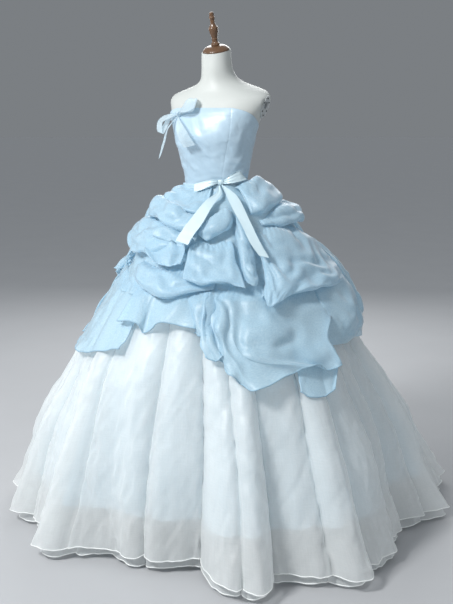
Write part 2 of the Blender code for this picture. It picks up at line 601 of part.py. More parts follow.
def make_torso():
    """A loft through the form's outlines, cut flat at both armholes."""
    steps = 36
    degrees_list = [360 / steps * k for k in range(steps)]
    heights = [TORSO_BOTTOM_Z, 1.00, 1.10, 1.15, 1.18, WAIST_Z]
    heights += [WAIST_Z + 0.020 + 0.030 * k for k in range(6)]
    heights += [WAIST_Z + z for z in (0.185, 0.205, 0.222, 0.24, 0.263, 0.286, 0.30, 0.314, 0.327,
                                      0.334, 0.341, 0.347, 0.353, 0.36, 0.368, 0.38, 0.393, 0.42, 0.455)]
    vertices = [point for height in heights for point in ring(degrees_list, height)]
    faces = []
    for i in range(len(heights) - 1):
        for j in range(steps):
            k = (j + 1) % steps
            faces.append((i * steps + j, i * steps + k, (i + 1) * steps + k, (i + 1) * steps + j))
    faces.append(tuple(reversed(range(steps))))
    faces.append(tuple(range((len(heights) - 1) * steps, len(heights) * steps)))
    torso = mesh_object("form_torso", vertices, faces, "form_white")
    for side, sign in (("left", 1), ("right", -1)):
        away = 0.2 * np.array((sign * math.cos(ARMHOLE_TILT), 0, -math.sin(ARMHOLE_TILT)))
        bpy.ops.mesh.primitive_cube_add(size=0.4, rotation=(0, sign * ARMHOLE_TILT, 0),
                                        location=away + (sign * HALF_CUT, 0, PLATE_HEIGHT_Z))
        cutter = bpy.context.object
        cutter.name = "cutter_armhole_" + side
        cutter.hide_render = True
        cutter.display_type = "WIRE"
        for holder in list(cutter.users_collection):
            holder.objects.unlink(cutter)
        CUTTERS.objects.link(cutter)
        cut = torso.modifiers.new("Armhole " + side, "BOOLEAN")
        cut.operation = "DIFFERENCE"
        cut.object = cutter


def make_armhole_plates():
    for side, sign in (("left", 1), ("right", -1)):
        thickness = 0.003
        lift = SEAM_GAP + thickness / 2
        bpy.ops.mesh.primitive_cylinder_add(
            vertices=32, radius=1.0, depth=thickness, rotation=(0, sign * (math.pi / 2 + ARMHOLE_TILT), 0),
            location=(sign * (HALF_CUT + lift * math.cos(ARMHOLE_TILT)), PLATE_Y,
                      PLATE_HEIGHT_Z - lift * math.sin(ARMHOLE_TILT)))
        plate = bpy.context.object
        for vertex in plate.data.vertices:
            vertex.co.x *= PLATE_SIZE[0]
            vertex.co.y *= PLATE_SIZE[1]
        put(plate, "armhole_plate_" + side, "plate_metal", smooth=False)


def turned(name, profile, material, steps=24):
    """A turned solid from a profile of (radius, height), top to bottom, on the axis at both ends."""
    mesh = bpy.data.meshes.new(name)
    points = [(radius, 0.0, height) for radius, height in profile]
    mesh.from_pydata(points, [(k, k + 1) for k in range(len(points) - 1)], [])
    obj = bpy.data.objects.new(name, mesh)
    GOWN.objects.link(obj)
    put(obj, name, material, smooth=False)
    screw = obj.modifiers.new("Turn", "SCREW")
    screw.steps = steps
    screw.render_steps = steps
    screw.use_merge_vertices = True
    screw.merge_threshold = 0.0001
    screw.use_smooth_shade = True
    return obj


def on_neck(obj, lift):
    """Stand a turned piece on the neck's tipped top face."""
    obj.rotation_euler = (NECK_LEAN, 0, 0)
    normal = np.array((0, -math.sin(NECK_LEAN), math.cos(NECK_LEAN)))
    obj.location = tuple(np.array((0, 0, TORSO_TOP_Z)) + normal * lift)


def make_neck_cap():
    """A low wooden dome with a flat top."""
    rim = 0.003
    profile = [(0.0, CAP_HEIGHT), (CAP_FLAT_RADIUS, CAP_HEIGHT)]
    for k in range(1, 5):
        angle = math.pi / 2 * k / 4
        profile.append((CAP_FLAT_RADIUS + (CAP_RADIUS - CAP_FLAT_RADIUS) * math.sin(angle),
                        rim + (CAP_HEIGHT - rim) * math.cos(angle)))
    profile += [(CAP_RADIUS, 0.0), (0.0, 0.0)]
    on_neck(turned("form_neck_cap", profile, "wood"), SEAM_GAP)


def make_finial():
    """A turned vase and knob on top of the neck cap."""
    profile = (
        (0.0000, 0.1125), (0.0058, 0.1115), (0.0077, 0.1080), (0.0081, 0.1000), (0.0079, 0.0985),
        (0.0099, 0.0955), (0.0099, 0.0915), (0.0080, 0.0880), (0.0080, 0.0730), (0.0122, 0.0640),
        (0.0162, 0.0580), (0.0160, 0.0530), (0.0142, 0.0430), (0.0093, 0.0255), (0.0110, 0.0225),
        (0.0100, 0.0200), (0.0100, 0.0125), (0.0151, 0.0060), (0.0151, 0.0000), (0.0000, 0.0000),
    )
    on_neck(turned("form_finial", profile, "wood", steps=16), CAP_HEIGHT + 2 * SEAM_GAP)


def make_stand():
    bpy.ops.mesh.primitive_cylinder_add(
        vertices=48, radius=BASE_RADIUS, depth=BASE_HEIGHT, location=(0, 0, BASE_HEIGHT / 2))
    base = put(bpy.context.object, "stand_base", "stand_white", smooth=False)
    edge = base.modifiers.new("Rounded edge", "BEVEL")
    edge.width = 0.004
    edge.segments = 2
    pole_bottom = BASE_HEIGHT + SEAM_GAP
    pole_top = TORSO_BOTTOM_Z - SEAM_GAP
    bpy.ops.mesh.primitive_cylinder_add(
        vertices=24, radius=POLE_RADIUS, depth=pole_top - pole_bottom,
        location=(0, 0, (pole_top + pole_bottom) / 2))
    put(bpy.context.object, "stand_pole", "stand_white")


# ---- The bodice -------------------------------------------------------------------------------
def neckline(degrees):
    """Height of the top edge: level across the bust, lower under the arms and at the back."""
    turn = abs((degrees + 180) % 360 - 180)
    fall = float(np.clip((turn - 50) / 75, 0, 1))
    return WAIST_Z + 0.262 - 0.078 * fall * fall * (3 - 2 * fall)


def mirrored(seam):
    return (-seam[0], -seam[1])


def make_bodice():
    """Panels between seams, each at one angle at the waist and another at the top edge."""
    sides = {
        "side_front": (FRONT_SEAM, SIDE_SEAM),
        "side_back": (SIDE_SEAM, BACK_SEAM),
        "back": (BACK_SEAM, CLOSING),
    }
    panels = {"bodice_front": (mirrored(FRONT_SEAM), FRONT_SEAM)}
    for part, (start, end) in sides.items():
        panels["bodice_%s_left" % part] = (start, end)
        panels["bodice_%s_right" % part] = (mirrored(end), mirrored(start))
    bottom = WAIST_Z - 0.002
    ease = 0.0025
    for name, (start, end) in panels.items():
        columns = round((end[0] - start[0]) / 10) + 1
        grid = []
        for v in np.linspace(0, 1, 11):
            low = start[0] + (start[1] - start[0]) * v
            high = end[0] + (end[1] - end[0]) * v
            row = []
            for deg in np.linspace(low, high, columns):
                z = bottom + (neckline(deg) - bottom) * v
                out = ease * math.sin(0.8 * math.pi * v)
                row.append(polar(deg, seam_radius(deg, z, 0) + out, z))
            grid.append(row)
        cloth(name, close_seams(np.array(grid)), "satin_blue")


# ---- The skirts -------------------------------------------------------------------------------
def layer_heights(hem):
    return [z for z in LAYER_HEIGHTS if z > hem + 0.05] + [hem]


def make_layer(prefix, cuts, level, hem, inset, material):
    """One skirt layer in gores between the given seam angles."""
    step = 360 / STEPS_ROUND
    for k, (start, end) in enumerate(zip(cuts[:-1], cuts[1:])):
        grid = [[polar(deg, waist_blend(deg, z, level, skirt_radius(deg, z, inset)), z)
                 for deg in gore_angles(start, end, step)] for z in layer_heights(hem)]
        cloth("%s_%d" % (prefix, k + 1), close_seams(np.array(grid)), material)


def make_base():
    """The overskirt's base, which the billows are tacked to."""
    step = 360 / STEPS_ROUND
    for name, start, end in (("overskirt_base_left", -60, 120), ("overskirt_base_right", 120, 300)):
        grid = [[polar(deg, base_radius(deg, z), z) for deg in gore_angles(start, end, step)]
                for z in layer_heights(CORE_HEM_Z)]
        cloth(name, close_seams(np.array(grid)), "organza_blue")


def make_billows():
    below = ["overskirt_base_left", "overskirt_base_right"]
    below += ["outer_skirt_%d" % k for k in range(1, 5)]
    tree = solid_tree(below)
    for name, cage in BILLOWS.items():
        rows = len(cage) + 1
        width = max(row[-1][0] - row[0][0] for row in cage)
        columns = max(5, math.ceil(width / BILLOW_COLUMN) + 1)
        grid = sheet_through([on_dome(row) for row in cage], rows, columns)
        cloth(name, tack(grid, tree), "organza_blue")


# ---- Bows and rosette -------------------------------------------------------------------------
def make_knot(name, place, size, material):
    """A small rounded knot; size is across, towards the viewer and up."""
    centre = on_body([place])[0]
    bpy.ops.mesh.primitive_uv_sphere_add(segments=12, ring_count=8, radius=1, location=centre)
    knot = bpy.context.object
    for vertex in knot.data.vertices:
        vertex.co = (vertex.co.x * size[0], vertex.co.y * size[1], vertex.co.z * size[2])
    knot.rotation_euler = (0, 0, math.radians(place[0]))
    put(knot, name, material)


def make_bows():
    make_knot("bow_knot", WAIST_KNOT, (0.0085, 0.0065, 0.008), "ribbon_pale")
    for name, cage in WAIST_LOOPS.items():
        cloth(name, sheet_through([on_body(row) for row in cage], 7, 3), "ribbon_pale")
    for name, cage in WAIST_TAILS.items():
        cloth(name, sheet_through([[polar(d, r, z) for d, z, r in row] for row in cage], 10, 3),
              "ribbon_pale")
    make_knot("sheer_knot", SHOULDER_KNOT, (0.006, 0.0055, 0.010), "ribbon_sheer")
    for name, cage in SHOULDER_BOW.items():
        cloth(name, sheet_through([on_body(row) for row in cage], 7, 3), "ribbon_sheer")


def make_rosette():
    """A small gathered rosette where the left panel is picked up."""
    degrees, height = -56, 0.932
    centre = polar(degrees, base_radius(degrees, height) + 0.0134, height)
    bpy.ops.mesh.primitive_uv_sphere_add(segments=16, ring_count=8, radius=1, location=centre)
    rosette = bpy.context.object
    for vertex in rosette.data.vertices:
        vertex.co = (vertex.co.x * 0.016, vertex.co.y * 0.010, vertex.co.z * 0.019)
    rosette.rotation_euler = (math.radians(-35), 0, math.radians(degrees))
    put(rosette, "rosette", "organza_blue")


clear_scene()
GOWN = make_collection("ball_gown_on_form")
CUTTERS = make_collection("cutters")

make_torso()
make_armhole_plates()
make_neck_cap()
make_finial()
make_stand()
make_bodice()
make_layer("lining_skirt", (-180, -90, 0, 90, 180), 1, LINING_HEM_Z, 0.040, "satin_lining")
make_layer("inner_skirt", (-144, -54, 36, 126, 216), 2, INNER_HEM_Z, 0.014, "organza_white")
make_layer("outer_skirt", (-156, -66, 18, 102, 204), 3, OUTER_HEM_Z, 0.0, "organza_white")
make_base()
make_billows()
make_bows()
make_rosette()
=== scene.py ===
# %% [markdown]
# # A strapless pick-up ball gown on a dress form
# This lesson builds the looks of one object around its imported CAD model. The gown is powder blue satin
# and organza, picked up in billows over two sheer white skirts, and it stands on a limbless form.
# The CAD model gives the frame: metres, +Z up, the gown faces -Y and the wearer's left is +X.

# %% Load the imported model
import math

import bpy
import numpy as np
from mathutils import Matrix, Vector, noise


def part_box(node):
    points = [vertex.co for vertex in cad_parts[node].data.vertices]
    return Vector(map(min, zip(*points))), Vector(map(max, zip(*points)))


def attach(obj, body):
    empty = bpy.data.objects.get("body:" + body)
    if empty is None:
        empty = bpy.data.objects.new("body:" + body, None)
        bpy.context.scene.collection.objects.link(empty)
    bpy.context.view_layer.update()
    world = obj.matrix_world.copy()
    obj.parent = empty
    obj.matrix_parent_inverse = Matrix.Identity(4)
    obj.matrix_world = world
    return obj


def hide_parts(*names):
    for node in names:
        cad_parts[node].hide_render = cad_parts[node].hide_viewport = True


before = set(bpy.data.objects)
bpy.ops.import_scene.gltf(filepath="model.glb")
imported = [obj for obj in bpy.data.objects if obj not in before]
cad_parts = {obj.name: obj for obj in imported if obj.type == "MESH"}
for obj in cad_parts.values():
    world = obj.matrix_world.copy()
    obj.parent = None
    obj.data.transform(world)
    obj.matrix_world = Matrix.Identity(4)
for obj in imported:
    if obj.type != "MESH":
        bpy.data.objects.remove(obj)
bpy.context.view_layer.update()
print("CAD nodes:", len(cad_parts))

# %% [markdown]
# ## The camera
# The photograph looks at the gown from its left front, from a little above. The lens and the shift give
# the photograph's own frame, so render and photograph can be laid side by side.

# %% Set the camera
PHOTO_SIZE = (453, 604)          # pixels
PHOTO_CENTRE = (216.2, 301.5)    # the pixel that the lens points at
FOCAL_PIXELS = 999
CAMERA_TURN = math.radians(30)
CAMERA_PITCH = math.radians(11)
CAMERA_DISTANCE = 3.54
CAMERA_HEIGHT = 1.47
FILM_HEIGHT = 36                 # millimetres

camera = bpy.data.objects.new("camera", bpy.data.cameras.new("camera"))
bpy.context.scene.collection.objects.link(camera)
camera.location = (CAMERA_DISTANCE * math.sin(CAMERA_TURN),
                   -CAMERA_DISTANCE * math.cos(CAMERA_TURN), CAMERA_HEIGHT)
camera.rotation_euler = (math.pi / 2 - CAMERA_PITCH, 0, CAMERA_TURN)
camera.data.sensor_fit = "VERTICAL"
camera.data.sensor_height = FILM_HEIGHT
camera.data.lens = FOCAL_PIXELS / PHOTO_SIZE[1] * FILM_HEIGHT
camera.data.shift_x = (PHOTO_SIZE[0] / 2 - PHOTO_CENTRE[0]) / PHOTO_SIZE[1]
camera.data.shift_y = (PHOTO_CENTRE[1] - PHOTO_SIZE[1] / 2) / PHOTO_SIZE[1]
camera.data.clip_end = 50
bpy.context.scene.camera = camera
print("lens %.1f mm" % camera.data.lens)

# %% [markdown]
# ## Floor and light
# A plain pale floor and soft square lamps, as in a studio. The key lamp stands high at the front, on the
# camera's left, so each billow has a bright upper side and a soft shadow below. Two weak lamps open the
# shadows at the sides, and one behind lights the back.

# %% Lay the floor and set the lamps
bpy.ops.object.select_all(action="DESELECT")
bpy.ops.mesh.primitive_circle_add(vertices=96, radius=60, fill_type="NGON", location=(0, 0, -0.0005))
floor = bpy.context.object
floor.name = "floor"

# Each lamp: degrees round the gown, distance, height and size in metres, power in watts.
LAMPS = {
    "key_lamp": (-12, 3.4, 3.4, 0.9, 172),
    "fill_lamp": (70, 3.8, 1.5, 2.4, 16),
    "left_lamp": (-75, 3.8, 1.9, 1.6, 26),
    "back_lamp": (205, 3.4, 2.6, 2.0, 60),
}
LAMP_AIM = Vector((0, 0, 1.0))       # the middle of the gown
for name, (turn, distance, height, size, power) in LAMPS.items():
    lamp = bpy.data.objects.new(name, bpy.data.lights.new(name, "AREA"))
    bpy.context.scene.collection.objects.link(lamp)
    angle = math.radians(turn)
    lamp.location = (distance * math.sin(angle), -distance * math.cos(angle), height)
    lamp.rotation_euler = (LAMP_AIM - lamp.location).to_track_quat("-Z", "Y").to_euler()
    lamp.data.size = size
    lamp.data.energy = power

SKY_LOW = (0.36, 0.385, 0.41, 1)     # seen behind the gown, in one tone with the floor
SKY_HIGH = (0.80, 0.84, 0.88, 1)     # the white ceiling above
world = bpy.data.worlds.new("studio")
world.use_nodes = True
sky = world.node_tree
place = sky.nodes.new("ShaderNodeTexCoord")
split = sky.nodes.new("ShaderNodeSeparateXYZ")
ramp = sky.nodes.new("ShaderNodeValToRGB")
ramp.color_ramp.elements[0].position = 0.15
ramp.color_ramp.elements[0].color = SKY_LOW
ramp.color_ramp.elements[1].position = 0.60
ramp.color_ramp.elements[1].color = SKY_HIGH
sky.links.new(place.outputs["Generated"], split.inputs[0])
sky.links.new(split.outputs["Z"], ramp.inputs[0])
sky.links.new(ramp.outputs["Color"], sky.nodes["Background"].inputs["Color"])
sky.nodes["Background"].inputs["Strength"].default_value = 0.55
bpy.context.scene.world = world
bpy.context.scene.view_settings.view_transform = "Standard"
print("lamps:", len(LAMPS))

# %% [markdown]
# ## Writing a material as sums
# A shader is easier to read as an expression than as a web of nodes. `Wire` wraps one socket, so that
# `mask * 0.3 + 0.1` adds the Math nodes. `Paint` owns one material and adds any other node.


# %% Two small classes for materials
class Wire:
    """One output of a material, which can be added to, taken from and multiplied."""

    def __init__(self, paint, socket):
        self.paint = paint
        self.socket = socket

    def join(self, operation, first, second):
        return self.paint.add("ShaderNodeMath", {"operation": operation}, {0: first, 1: second})

    def __add__(self, other):
        return self.join("ADD", self, other)

    def __sub__(self, other):
        return self.join("SUBTRACT", self, other)

    def __rsub__(self, other):
        return self.join("SUBTRACT", other, self)

    def __mul__(self, other):
        return self.join("MULTIPLY", self, other)

    def __pow__(self, other):
        return self.join("POWER", self, other)

    __radd__ = __add__
    __rmul__ = __mul__


class Paint:
    """One material and the nodes that are added to it."""

    def __init__(self, name):
        self.material = bpy.data.materials.new(name)
        self.material.use_nodes = True
        self.tree = self.material.node_tree
        self.tree.nodes.clear()

    def add(self, kind, settings=None, inputs=None, output=0):
        node = self.tree.nodes.new(kind)
        for key, value in (settings or {}).items():
            setattr(node, key, value)
        for key, value in (inputs or {}).items():
            if isinstance(value, Wire):
                self.tree.links.new(value.socket, node.inputs[key])
            else:
                node.inputs[key].default_value = value
        return Wire(self, node.outputs[output]) if len(node.outputs) else None

    def place(self):
        """Where a point lies in the piece, in metres."""
        return self.add("ShaderNodeTexCoord", output=3)

    def along_cloth(self):
        """Where a point lies in the flat cloth, in metres across and along it."""
        return self.add("ShaderNodeUVMap", {"uv_map": "cloth"})

    def noise(self, where, scale, detail=2.0):
        return self.add("ShaderNodeTexNoise", {}, {"Vector": where, "Scale": scale, "Detail": detail})

    def stretched(self, where, scale):
        return self.add("ShaderNodeMapping", {}, {"Vector": where, "Scale": scale})

    def blend(self, share, low, high):
        """A colour between two colours."""
        return self.add("ShaderNodeMix", {"data_type": "RGBA"}, {0: share, 6: low, 7: high}, 2)

    def bump(self, height, strength, distance):
        return self.add("ShaderNodeBump", {}, {"Height": height, "Strength": strength, "Distance": distance})

    def surface(self, sockets):
        return self.add("ShaderNodeBsdfPrincipled", {}, sockets)

    def show(self, surface):
        self.add("ShaderNodeOutputMaterial", {}, {"Surface": surface})
        print("finish:", self.material.name)
        return self.material


def rgb(red, green, blue):
    return (red, green, blue, 1.0)


# %% The floor's paint
paint = Paint("studio_floor")
speck = paint.noise(paint.place(), 3.0)
floor_tone = paint.blend(speck, rgb(0.44, 0.45, 0.465), rgb(0.47, 0.48, 0.495))
floor.data.materials.append(paint.show(paint.surface({"Base Color": floor_tone, "Roughness": 0.8})))

# %% [markdown]
# ## The form's and the skirts' outlines
# The same tables as in the CAD part give every outline, read here with far finer steps. The tables are
# in millimetres, as a dressmaker would note them, and `table_curve` draws a smooth curve through their
# rows.

# %% Outlines shared by all pieces
WAIST_Z = 1.205
TORSO_BOTTOM_Z = WAIST_Z - 0.30
TORSO_TOP_Z = WAIST_Z + 0.455
BODY_GAP = 0.0008                # the form stays clear of the cloth
CLOTH_WALL = 0.001
LAYER_STEP = 0.0018              # from one layer to the next at the waist
HALF_CUT = 0.177                 # the armhole faces, out from the middle
NECK_LEAN = math.radians(15)
PLATE_HEIGHT_Z = WAIST_Z + 0.267
ARMHOLE_TILT = math.radians(18)
BODY_POWER = 2.3                 # an oval's is 2, and a higher one is squarer
WAIST_DRAWN_IN = 0.07            # the depth below the waist where the gathers open


def metres(text):
    """Numbers given in millimetres."""
    return [round(float(word) / 1000, 5) for word in text.split()]


def millimetre_table(text):
    return [metres(row) for row in text.strip().splitlines()]


# The form: height over the waist, half width, depth in front, depth behind, shoulders set back.
BODY = millimetre_table("""
-300 146 86 100 0
-200 163 103 122 0
-100 143 95 104 0
0 112 83 82 0
90 124 98 88 0
170 141 121 96 0
205 154 114 100 0
240 168 102 105 6
263 181 90 105 16
286 191 78 99 24
300 190 70 96 28
314 177 60 90 37
327 150 55 84 54
341 106 52 79 56
353 78 50 73 40
368 62 49 68 22
393 53 49 57 8
425 50 48 51 2
455 48.5 48 48.5 0
""")

# The petticoat's dome: height, radius in front, extra radius behind, drawn in at the wearer's right.
DOME = millimetre_table("""
0 652 280 0
50 645 260 0
220 610 190 0
350 577 165 0
450 547 125 10
520 526 93 23
600 497 60 28
700 445 50 26
800 388 70 26
880 337 79 33
940 300 76 50
1000 262 60 36
1060 225 42 18
1100 200 30 8
1160 157 10 0
1190 127 0 0
1250 115 0 0
""")


def smooth_step(value, low, high):
    t = np.clip((value - low) / (high - low), 0, 1)
    return t * t * (3 - 2 * t)


def table_curve(table, height):
    """Read a table of (height, value, ...) rows with a smooth curve through its rows."""
    table = np.array(table)
    keys, values = table[:, 0], table[:, 1:]
    slopes = np.gradient(values, keys, axis=0)
    height = np.asarray(height, float)
    k = np.clip(np.searchsorted(keys, height) - 1, 0, len(keys) - 2)
    span = (keys[k + 1] - keys[k])[..., None]
    t = np.clip((height - keys[k])[..., None] / span, 0, 1)
    a, b, c = 2 * t**3 - 3 * t**2 + 1, t**3 - 2 * t**2 + t, t**3 - t**2
    return a * values[k] + (1 - a) * values[k + 1] + span * (b * slopes[k] + c * slopes[k + 1])


def polar(degrees, radius, height):
    angle = np.radians(degrees)
    return np.stack(np.broadcast_arrays(radius * np.sin(angle), -radius * np.cos(angle), height), -1)


def body_radius(degrees, height):
    """The form's outline at a height, a rounded oval with a fuller front."""
    width, front, back, _ = np.moveaxis(table_curve(BODY, np.asarray(height) - WAIST_Z), -1, 0)
    angle = np.radians(degrees)
    depth = np.where(np.cos(angle) > 0, front, back)
    across = np.abs(np.sin(angle) / width) ** BODY_POWER
    along = np.abs(np.cos(angle) / depth) ** BODY_POWER
    return (across + along) ** (-1 / BODY_POWER)


def dome_radius(degrees, height):
    front, back, right = np.moveaxis(table_curve(DOME, height), -1, 0)
    angle = np.radians(degrees)
    return front + back * (1 - np.cos(angle)) / 2 - right * np.maximum(0, -np.sin(angle)) ** 2


def seam_radius(degrees, height, level):
    """Where a layer is stitched at the waist: level 0 is the bodice, later ones lie outside it."""
    return body_radius(degrees, height) + BODY_GAP + CLOTH_WALL / 2 + level * LAYER_STEP


def waist_blend(degrees, height, level, radius):
    """Draw a layer in to its own seam at the waist."""
    seam = seam_radius(degrees, height, level)
    return seam + (radius - seam) * smooth_step(WAIST_Z - 0.006 - height, 0, WAIST_DRAWN_IN)


print("waist %.0f mm round" % (2 * math.pi * 1000 * float(np.mean(body_radius(np.arange(360), WAIST_Z)))))

# %% [markdown]
# ## Pieces and their places
# Every visible piece stands for one or more CAD nodes and rides on the one body. `stand_for` says both.


# %% Say what a piece stands for
def stand_for(piece, slot, *nodes):
    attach(piece, "root")
    if nodes:
        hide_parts(*nodes)
    return piece


def closed_up(grid, closed):
    """The grid of a sheet, with its first column again at the end where it is a tube."""
    return np.concatenate([grid, grid[:, :1]], 1) if closed else grid


def lengths_along(line):
    """How far each point of a line, or of each column of a grid, lies from its start."""
    return np.cumsum(np.linalg.norm(np.diff(line, axis=0, prepend=line[:1]), axis=-1), axis=0)


def mesh_piece(name, points, faces, material):
    mesh = bpy.data.meshes.new(name)
    mesh.from_pydata([tuple(p) for p in points], [], faces)
    mesh.update()
    mesh.materials.append(material)
    mesh.shade_smooth()
    piece = bpy.data.objects.new(name, mesh)
    bpy.context.scene.collection.objects.link(piece)
    return piece


def cloth_piece(name, grid, material, closed=False):
    """A sheet through a grid of points, top row first, with a UV map in metres along the cloth."""
    rows, columns = grid.shape[:2]
    ahead = columns if closed else columns - 1
    faces, corners = [], []
    for i in range(rows - 1):
        for j in range(ahead):
            a, b = i * columns + j, i * columns + (j + 1) % columns
            faces.append((a, a + columns, b + columns, b))
            corners.append(((i, j), (i + 1, j), (i + 1, j + 1), (i, j + 1)))
    piece = mesh_piece(name, grid.reshape(-1, 3), faces, material)
    across = lengths_along(closed_up(grid, closed)[rows // 2])
    along = lengths_along(grid[:, columns // 2])
    layer = piece.data.uv_layers.new(name="cloth")
    flat = [(across[j], along[i]) for face in corners for i, j in face]
    layer.data.foreach_set("uv", np.array(flat).ravel())
    return piece


def cut_size(grid, closed=False):
    """The flat width and length of a sheet, from its widest row and its longest column."""
    ring = closed_up(grid, closed)
    width = np.linalg.norm(np.diff(ring, axis=1), axis=2).sum(1).max()
    length = np.linalg.norm(np.diff(grid, axis=0), axis=2).sum(0).max()
    return float(width), float(length)


def cut_area(grid, closed=False):
    """The flat area of a sheet, from the cells of its grid."""
    ring = closed_up(grid, closed)
    one = np.cross(ring[1:, :-1] - ring[:-1, :-1], ring[:-1, 1:] - ring[:-1, :-1])
    two = np.cross(ring[1:, :-1] - ring[1:, 1:], ring[:-1, 1:] - ring[1:, 1:])
    return float((np.linalg.norm(one, axis=2) + np.linalg.norm(two, axis=2)).sum() / 2)


def declare_sheet(piece, grid, closed=False):
    width, length = cut_size(grid, closed)
    area = min(cut_area(grid, closed), width * length)
    print("%s: cut %.2f x %.2f m" % (piece.name, width, length))


# %% [markdown]
# ## Finishes
# The form has a smooth knitted cover, the cap and finial are turned wood, and the gown is satin and
# organza. Satin shines softly along its folds. Organza is a stiff, sheer weave: it lets light through
# where it faces us and closes up where it turns away, so its coverage follows the facing angle.


# %% Satin
def satin(name, low, high, roughness, sheen):
    """A smooth close weave: fine threads along the cloth, soft colour drift and small creases."""
    paint = Paint(name)
    along = paint.along_cloth()
    where = paint.place()
    drift = paint.noise(where, 9.0, 3.0)
    threads = paint.noise(paint.stretched(along, (2200, 60, 1)), 1.0, 1.0)
    creases = paint.noise(paint.stretched(along, (26, 60, 1)), 1.0, 3.0)
    tone = paint.blend(drift * 0.75 + threads * 0.25, rgb(*low), rgb(*high))
    normal = paint.bump(threads * 0.15 + creases, 0.35, 0.0016)
    return paint.show(paint.surface({
        "Base Color": tone, "Roughness": threads * 0.10 + roughness, "Normal": normal,
        "Specular IOR Level": 0.6, "Sheen Weight": sheen, "Sheen Roughness": 0.35}))


bodice_satin = satin("satin_powder_blue", (0.39, 0.53, 0.64), (0.47, 0.61, 0.71), 0.33, 0.30)
lining_satin = satin("satin_lining_blue", (0.48, 0.70, 0.84), (0.60, 0.79, 0.90), 0.42, 0.1)
ribbon_satin = satin("satin_ribbon_pale", (0.54, 0.70, 0.77), (0.66, 0.80, 0.85), 0.28, 0.2)


# %% Organza
def organza(name, low, high, cover, lit_through, sheen=0.8):
    """A sheer crisp weave: slubby threads both ways, small crumples, painted glints in its colour, open
    where it faces us.
    """
    paint = Paint(name)
    along = paint.along_cloth()
    where = paint.place()
    drift = paint.noise(where, 5.0, 3.0)
    warp = paint.noise(paint.stretched(along, (420, 18, 1)), 1.0, 1.0)
    weft = paint.noise(paint.stretched(along, (18, 420, 1)), 1.0, 1.0)
    # Small specks: in the colour they are painted glints, in the bump and the roughness they are slubs of
    # the weave.
    painted_glints_and_slubs = paint.noise(along, 170.0, 2.0)
    crumple = paint.noise(paint.stretched(along, (14, 9, 1)), 1.0, 4.0)
    weave = warp * 0.5 + weft * 0.5
    bent = paint.stretched(along, (11, 5, 1))
    facets = paint.add("ShaderNodeTexVoronoi", {"feature": "DISTANCE_TO_EDGE"}, {
        "Vector": bent, "Scale": 1.0, "Randomness": 1.0}, "Distance")
    # The specks brighten the colour as painted glints.
    tone = paint.blend(drift * 0.5 + painted_glints_and_slubs * 1.4 - 0.45, rgb(*low), rgb(*high))
    normal = paint.bump(weave * 0.18 + painted_glints_and_slubs * 0.45 + crumple * 0.5 + facets * 1.3, 0.55, 0.0024)
    threads = paint.surface({
        "Base Color": tone, "Roughness": painted_glints_and_slubs * 0.15 + 0.32, "Normal": normal, "Specular IOR Level": 0.6,
        "Sheen Weight": sheen, "Sheen Roughness": 0.35})
    glow = paint.add("ShaderNodeBsdfTranslucent", {}, {"Color": tone, "Normal": normal})
    cloth = paint.add("ShaderNodeMixShader", {}, {0: lit_through, 1: threads, 2: glow})
    turned = paint.add("ShaderNodeLayerWeight", {}, {"Blend": 0.5}, "Facing")
    open_weave = paint.add("ShaderNodeBsdfTransparent")
    closed = turned**1.6 * (0.98 - cover) + (weave * 0.12 + (cover - 0.06))
    return paint.show(paint.add("ShaderNodeMixShader", {}, {0: closed, 1: open_weave, 2: cloth}))


white_organza = organza("organza_white", (0.87, 0.92, 0.93), (0.95, 0.97, 0.97), 0.54, 0.30, 0.5)
blue_organza = organza("organza_powder_blue", (0.42, 0.65, 0.80), (0.65, 0.84, 0.94), 0.76, 0.28, 0.9)
sheer_ribbon = organza("ribbon_sheer_blue", (0.60, 0.75, 0.83), (0.76, 0.87, 0.92), 0.70, 0.35)


# %% Hem cords
def corded(name, low, high):
    """A tightly rolled hem with slanting stitches."""
    paint = Paint(name)
    along = paint.along_cloth()
    stitches = paint.add("ShaderNodeTexWave", {}, {"Vector": paint.stretched(along, (1, 0.3, 1)),
                                                    "Scale": 160.0, "Distortion": 0.4}, "Fac")
    tone = paint.blend(stitches, rgb(*low), rgb(*high))
    return paint.show(paint.surface({
        "Base Color": tone, "Roughness": 0.5, "Normal": paint.bump(stitches, 0.4, 0.0006),
        "Sheen Weight": 0.2}))


white_cord = corded("hem_cord_white", (0.80, 0.84, 0.84), (0.92, 0.94, 0.93))
blue_cord = corded("hem_cord_blue", (0.26, 0.43, 0.55), (0.38, 0.57, 0.69))


# %% Knit cover, turned wood and metal
def hard_finish(name, low, high, roughness, metallic, grain_scale, bump_depth, coat=0.0):
    """A painted, knitted or metal face with a fine grain and a slow drift of tone."""
    paint = Paint(name)
    where = paint.place()
    grain = paint.noise(where, grain_scale, 2.0)
    drift = paint.noise(where, 6.0, 3.0)
    tone = paint.blend(grain * 0.4 + drift * 0.6, rgb(*low), rgb(*high))
    return paint.show(paint.surface({
        "Base Color": tone, "Roughness": grain * 0.15 + roughness, "Metallic": metallic,
        "Coat Weight": coat, "Normal": paint.bump(grain, 0.4, bump_depth)}))


form_cover = hard_finish("form_cover_white", (0.50, 0.53, 0.51), (0.57, 0.595, 0.58), 0.42, 0, 900, 0.0004)
stand_paint = hard_finish("stand_paint_white", (0.70, 0.72, 0.71), (0.80, 0.81, 0.80), 0.3, 0, 400, 0.0003,
                          coat=0.2)
plate_face = hard_finish("plate_bright", (0.55, 0.58, 0.58), (0.80, 0.83, 0.83), 0.22, 0.75, 240, 0.0002)
# The socket's dark metal is painted shade, standing in for the shadow in its shallow recess.
socket_metal_painted_shade = hard_finish("plate_socket_painted_shade", (0.20, 0.22, 0.23), (0.34, 0.36, 0.37), 0.35, 0.6, 300, 0.0002)
dark_metal = hard_finish("plate_dark", (0.03, 0.035, 0.035), (0.09, 0.10, 0.10), 0.3, 0.6, 300, 0.0002)

